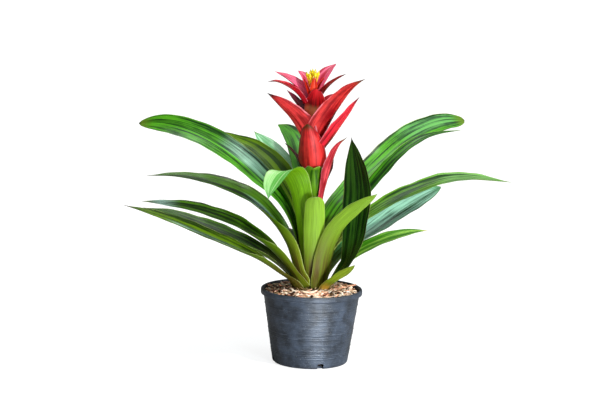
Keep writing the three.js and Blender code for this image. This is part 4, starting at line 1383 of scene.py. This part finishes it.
def add_chips():
    chips = Heap()
    nearest, farthest = CHIP_RADII
    for layer in range(CHIP_LAYERS):
        for _ in range(CHIPS_IN_LAYER):
            turn = random.uniform(0, 2 * math.pi)
            radius = math.sqrt(random.uniform(nearest**2, farthest**2))
            heading = random.uniform(0, 2 * math.pi)
            tilt = random.uniform(-0.35, 0.35)
            way = (math.cos(heading), math.sin(heading), tilt)
            up = (random.uniform(-0.4, 0.4), random.uniform(-0.4, 0.4), 1)
            size = (random.uniform(4, 13), random.uniform(2.2, 5.5), random.uniform(1.2, 2.8))
            height = husk_height(radius, turn) + 0.4 + layer * 0.9
            centre = (radius * math.cos(turn), radius * math.sin(turn), height)
            add_chip(chips, centre, way, up, size, chip_tone())
    # Two larger pale chips that show in the photograph: at the front, and at the right rim.
    add_chip(chips, (-3, -47, 112), (1, -0.25, 0.1), (0, 0.3, 1), (22, 10, 4), 0.8)
    add_chip(chips, (58, 22, 110), (1, 0.1, 0.12), (0, 0, 1), (15, 5, 3), 0.55)
    settle(chips.make("husk_chips"), "husk_mulch", chip_material())


def add_strand(heap, path, radius, tone):
    """A thin round strand along a path of points, pinched at both ends."""
    for i, spot in enumerate(path):
        ahead = Vector(path[min(i + 1, len(path) - 1)])
        behind = Vector(path[max(i - 1, 0)])
        _, across, normal = frame_of(ahead - behind, (0.1, 0.2, 1))
        share = i / (len(path) - 1)
        thick = radius * (0.35 + 0.65 * math.sin(math.pi * share))
        heap.ring(Vector(spot), across, normal, thick, share, STRAND_SIDES)
    heap.close(len(path), STRAND_SIDES, tone)


def add_fibres():
    """Loose fibres on the husk, and dry ones that stand round the leaf bases."""
    fibres = Heap()
    for k in range(FIBRE_COUNT):
        turn = random.uniform(0, 2 * math.pi)
        upright = k % 3 == 0
        radius = random.uniform(26, 36) if upright else random.uniform(28, FIBRE_REACH)
        heading = random.uniform(0, 2 * math.pi)
        length = random.uniform(7, 17) if upright else random.uniform(9, 26)
        height = husk_height(radius, turn) + 1.5
        spot = Vector((radius * math.cos(turn), radius * math.sin(turn), height))
        path = []
        curl = random.uniform(-0.5, 0.5)
        for _ in range(7):
            path.append(tuple(spot))
            step = length / 6
            rise = step * random.uniform(0.2, 0.6) if upright else random.uniform(-0.25, 0.35)
            flat = step * 0.5 if upright else step
            spot = spot + Vector((math.cos(heading) * flat, math.sin(heading) * flat, rise))
            heading += curl * 0.5 + random.uniform(-0.2, 0.2)
            away = math.hypot(spot.x, spot.y)
            if away > FIBRE_REACH:
                spot.x *= FIBRE_REACH / away
                spot.y *= FIBRE_REACH / away
        add_strand(fibres, path, random.uniform(0.22, 0.5), random.random())
    settle(fibres.make("husk_fibres"), "husk_mulch", fibre_material())


def add_stem():
    """The scape with its slightly swollen nodes, the caudex and its roots, as one mesh."""
    stem = Heap(inward=False)

    def tube(rings):
        """An upright tube; each ring is its middle and its radius."""
        for i, (*middle, radius) in enumerate(rings):
            share = i / (len(rings) - 1)
            stem.ring(Vector(middle), Vector((1, 0, 0)), Vector((0, 1, 0)), radius, share, STEM_SIDES)
        stem.close(len(rings), STEM_SIDES, 0.0)

    scape = []
    for height in np.linspace(CAUDEX_TOP - 4, SCAPE_TOP, 90):
        share = (height - CAUDEX_TOP) / (SCAPE_TOP - CAUDEX_TOP)
        swelling = 0.25 * max(0.0, math.cos(height * 2 * math.pi / NODE_SPACING)) ** 6
        radius = SCAPE_RADIUS + (SCAPE_TIP_RADIUS - SCAPE_RADIUS) * share + swelling
        scape.append((scape_offset(height), 0, height, radius))
    tube(scape)
    tube([
        (0, 0, CAUDEX_BOTTOM, CAUDEX_RADIUS - 2),
        (0, 0, CAUDEX_BOTTOM + 2, CAUDEX_RADIUS),
        (0, 0, CAUDEX_SHOULDER, CAUDEX_RADIUS),
        (0, 0, CAUDEX_TOP, SCAPE_RADIUS),
    ])
    for i in range(ROOT_COUNT):
        turn = 2 * math.pi * i / ROOT_COUNT
        x = ROOT_CIRCLE * math.cos(turn)
        y = ROOT_CIRCLE * math.sin(turn)
        tube([(x, y, ROOT_BOTTOM, ROOT_RADIUS / 2), (x, y, CAUDEX_BOTTOM + 1, ROOT_RADIUS)])
    piece = make_object("stem_surface", stem.points, stem.faces, stem.places)
    settle(piece, "flower_stem", stem_material())


def sheet_faces(start, rows, columns):
    """The faces of a thin sheet: an outer and an inner layer of points, joined at the edges."""
    faces = []
    step = rows * columns
    for i in range(rows - 1):
        for j in range(columns - 1):
            a = start + i * columns + j
            faces.append((a, a + 1, a + columns + 1, a + columns))
            b = a + step
            faces.append((b, b + columns, b + columns + 1, b + 1))
    for i in range(rows - 1):
        a = start + i * columns
        faces.append((a, a + columns, a + columns + step, a + step))
        b = start + i * columns + columns - 1
        faces.append((b, b + step, b + step + columns, b + columns))
    for j in range(columns - 1):
        a = start + j
        faces.append((a, a + step, a + step + 1, a + 1))
        b = start + (rows - 1) * columns + j
        faces.append((b, b + 1, b + 1 + step, b + step))
    return faces


def flower_axis(flower):
    """The foot of a flower, its length and its directions: along, across and upwards."""
    turn = math.radians(flower["azimuth"])
    out = Vector((math.cos(turn), math.sin(turn), 0))
    base = Vector((scape_offset(FLOWER_FOOT), 0, 0))
    foot = base + out * flower["foot"] + Vector((0, 0, FLOWER_FOOT))
    tip = base + out * flower["reach"] + Vector((0, 0, flower["top"]))
    return foot, (tip - foot).length, *frame_of(tip - foot, (0.3, 1, 0.1))


def add_petals(flower, look):
    """A slender tube that swells into a nearly closed head of three petals."""
    foot, length, along, across, normal = flower_axis(flower)
    points, faces, places = [], [], []
    rows = 22
    columns = 9
    for petal in range(3):
        faces += sheet_faces(len(points), rows, columns)
        middle = 2 * math.pi * petal / 3 + math.radians(flower["azimuth"])
        for layer in (0.0, -0.28):
            for i in range(rows):
                share = i / (rows - 1)
                swell = 1.15 + 1.1 * math.exp(-(((share - 0.78) / 0.14) ** 2))
                close = 1 - smoothstep(share, 0.84, 1.0) * 0.62
                radius = (swell * close + 0.05 * petal + layer) * (1 + 0.25 * (share > 0.97))
                spread = math.radians(68) * (1 - smoothstep(share, 0.86, 1.0) * 0.55)
                for j in range(columns):
                    side = j / (columns - 1) * 2 - 1
                    angle = middle + side * spread
                    lip = 0.5 * (1 - side * side) * smoothstep(share, 0.9, 1.0)
                    away = across * math.cos(angle) + normal * math.sin(angle)
                    spot = foot + along * (length * share + lip) + away * (radius + lip * 0.6)
                    points.append(tuple(spot))
                    places.append((j / (columns - 1), share))
    head = make_object(flower["name"] + "_petals", points, faces, places)
    settle(head, flower["name"], look)


def add_stamens(flower, look):
    """The anthers, which show in the mouth of the petals."""
    foot, length, along, across, normal = flower_axis(flower)
    stamens = Heap()
    for k in range(5):
        angle = 2 * math.pi * k / 5 + math.radians(flower["azimuth"])
        away = across * math.cos(angle) + normal * math.sin(angle)
        path = []
        for i in range(5):
            share = 0.7 + 0.3 * i / 4
            path.append(tuple(foot + along * (length * share) + away * 0.55))
        add_strand(stamens, path, 0.32, 0.5)
    settle(stamens.make(flower["name"] + "_stamens"), flower["name"], look)


def add_floor():
    """A pale floor that runs to the horizon. Seen directly it is lifted to a clean white, as a product
    photograph's is, while the light that it throws back on the plant stays low."""
    bpy.ops.mesh.primitive_plane_add(size=60, location=(0, 10, -0.0004))
    floor = bpy.context.object
    floor.name = "floor"
    n = new_look("floor_look")
    cloud = n.noise(n.position(scale=1.0), scale=0.8, detail=3)
    colour = n.blend(cloud, (0.32, 0.325, 0.33, 1), (0.36, 0.36, 0.36, 1))
    seen = n.out(n.add("ShaderNodeLightPath"), "Is Camera Ray")
    look = n.surface(
        colour, 0.9, Specular_IOR_Level=0.0, Emission_Color=(1, 1, 1, 1), Emission_Strength=seen * 0.8
    )
    wear(floor, look)


def add_light(name, kind, place, target, energy, colour, size):
    """A light aimed at a target. size: the angle of a sun in degrees, or the width of a disk."""
    light = bpy.data.lights.new(name, kind)
    light.energy = energy
    light.color = colour
    if kind == "AREA":
        light.shape = "DISK"
        light.size = size
    else:
        light.angle = math.radians(size)
    lamp = bpy.data.objects.new(name, light)
    lamp.location = place
    lamp.visible_camera = False
    lamp.rotation_euler = (Vector(target) - Vector(place)).to_track_quat("-Z", "Y").to_euler()
    bpy.context.scene.collection.objects.link(lamp)


def add_lights():
    """A soft studio: an overcast dome, a sun-like key from the right front, wide boxes of cool
    light above and to the right, and two low panels in front that give the pot its sheen."""
    middle = (0, 0, 0.25)
    add_light("key", "SUN", (0.9, -1.1, 2.6), middle, 2.5, (1.0, 0.99, 0.96), 7)
    add_light("top_box", "AREA", (-0.2, 0.5, 1.3), middle, 5.0, (0.93, 0.97, 1.0), 0.6)
    add_light("front_strip", "AREA", (0.5, -1.0, 0.12), (0, 0, 0.05), 12.0, (0.84, 0.92, 1.0), 0.25)
    add_light("low_panel", "AREA", (0.05, -0.2, 0.015), (0.01, 0, 0.05), 0.42, (0.86, 0.93, 1.0), 0.09)
    add_light("right_box", "AREA", (1.1, -0.2, 0.4), (0, 0, 0.15), 4.0, (0.9, 0.95, 1.0), 0.5)
    world = bpy.data.worlds.new("studio")
    bpy.context.scene.world = world
    n = Nodes(world)
    right, _, up = n.parts(n.out(n.add("ShaderNodeTexCoord"), "Generated"))
    strength = n.ramp(up, 0.1, 0.95, 0.06, 0.9) * n.ramp(right, -0.9, 0.6, 0.3, 1.0)
    dome = n.add("ShaderNodeBackground")
    n.join(dome.inputs["Color"], (0.97, 0.985, 1.0, 1))
    n.join(dome.inputs["Strength"], strength)
    end = n.add("ShaderNodeOutputWorld")
    n.join(end.inputs["Surface"], n.out(dome))
    bpy.context.scene.view_settings.view_transform = "Standard"


def add_camera():
    """The camera of the photograph."""
    pitch = math.radians(CAMERA_PITCH)
    roll = math.radians(CAMERA_ROLL)
    forward = Vector((0, math.cos(pitch), -math.sin(pitch)))
    level_right = Vector((1, 0, 0))
    level_up = level_right.cross(forward)
    right = level_right * math.cos(roll) + level_up * math.sin(roll)
    up = level_up * math.cos(roll) - level_right * math.sin(roll)
    data = bpy.data.cameras.new("camera")
    data.sensor_width = 36
    data.lens = CAMERA_LENS
    data.clip_end = 100
    camera = bpy.data.objects.new("camera", data)
    turn = Matrix((right, up, -forward)).transposed().to_4x4()
    camera.matrix_world = Matrix.Translation(CAMERA_PLACE) @ turn
    bpy.context.scene.collection.objects.link(camera)
    bpy.context.scene.camera = camera


add_camera()
add_lights()
add_floor()
add_pot()
wear(frame["nodes"]["potting_mix"], mix_material())
add_husk_bed()
add_chips()
add_fibres()
add_stem()
for number, row in enumerate(LEAVES):
    add_leaf(row, number + 1)
for number, row in enumerate(BRACTS):
    add_bract(row, number + 51)
petals_look = flower_material()
stamens_look = stamen_material()
for row in FLOWERS:
    add_petals(row, petals_look)
    add_stamens(row, stamens_look)
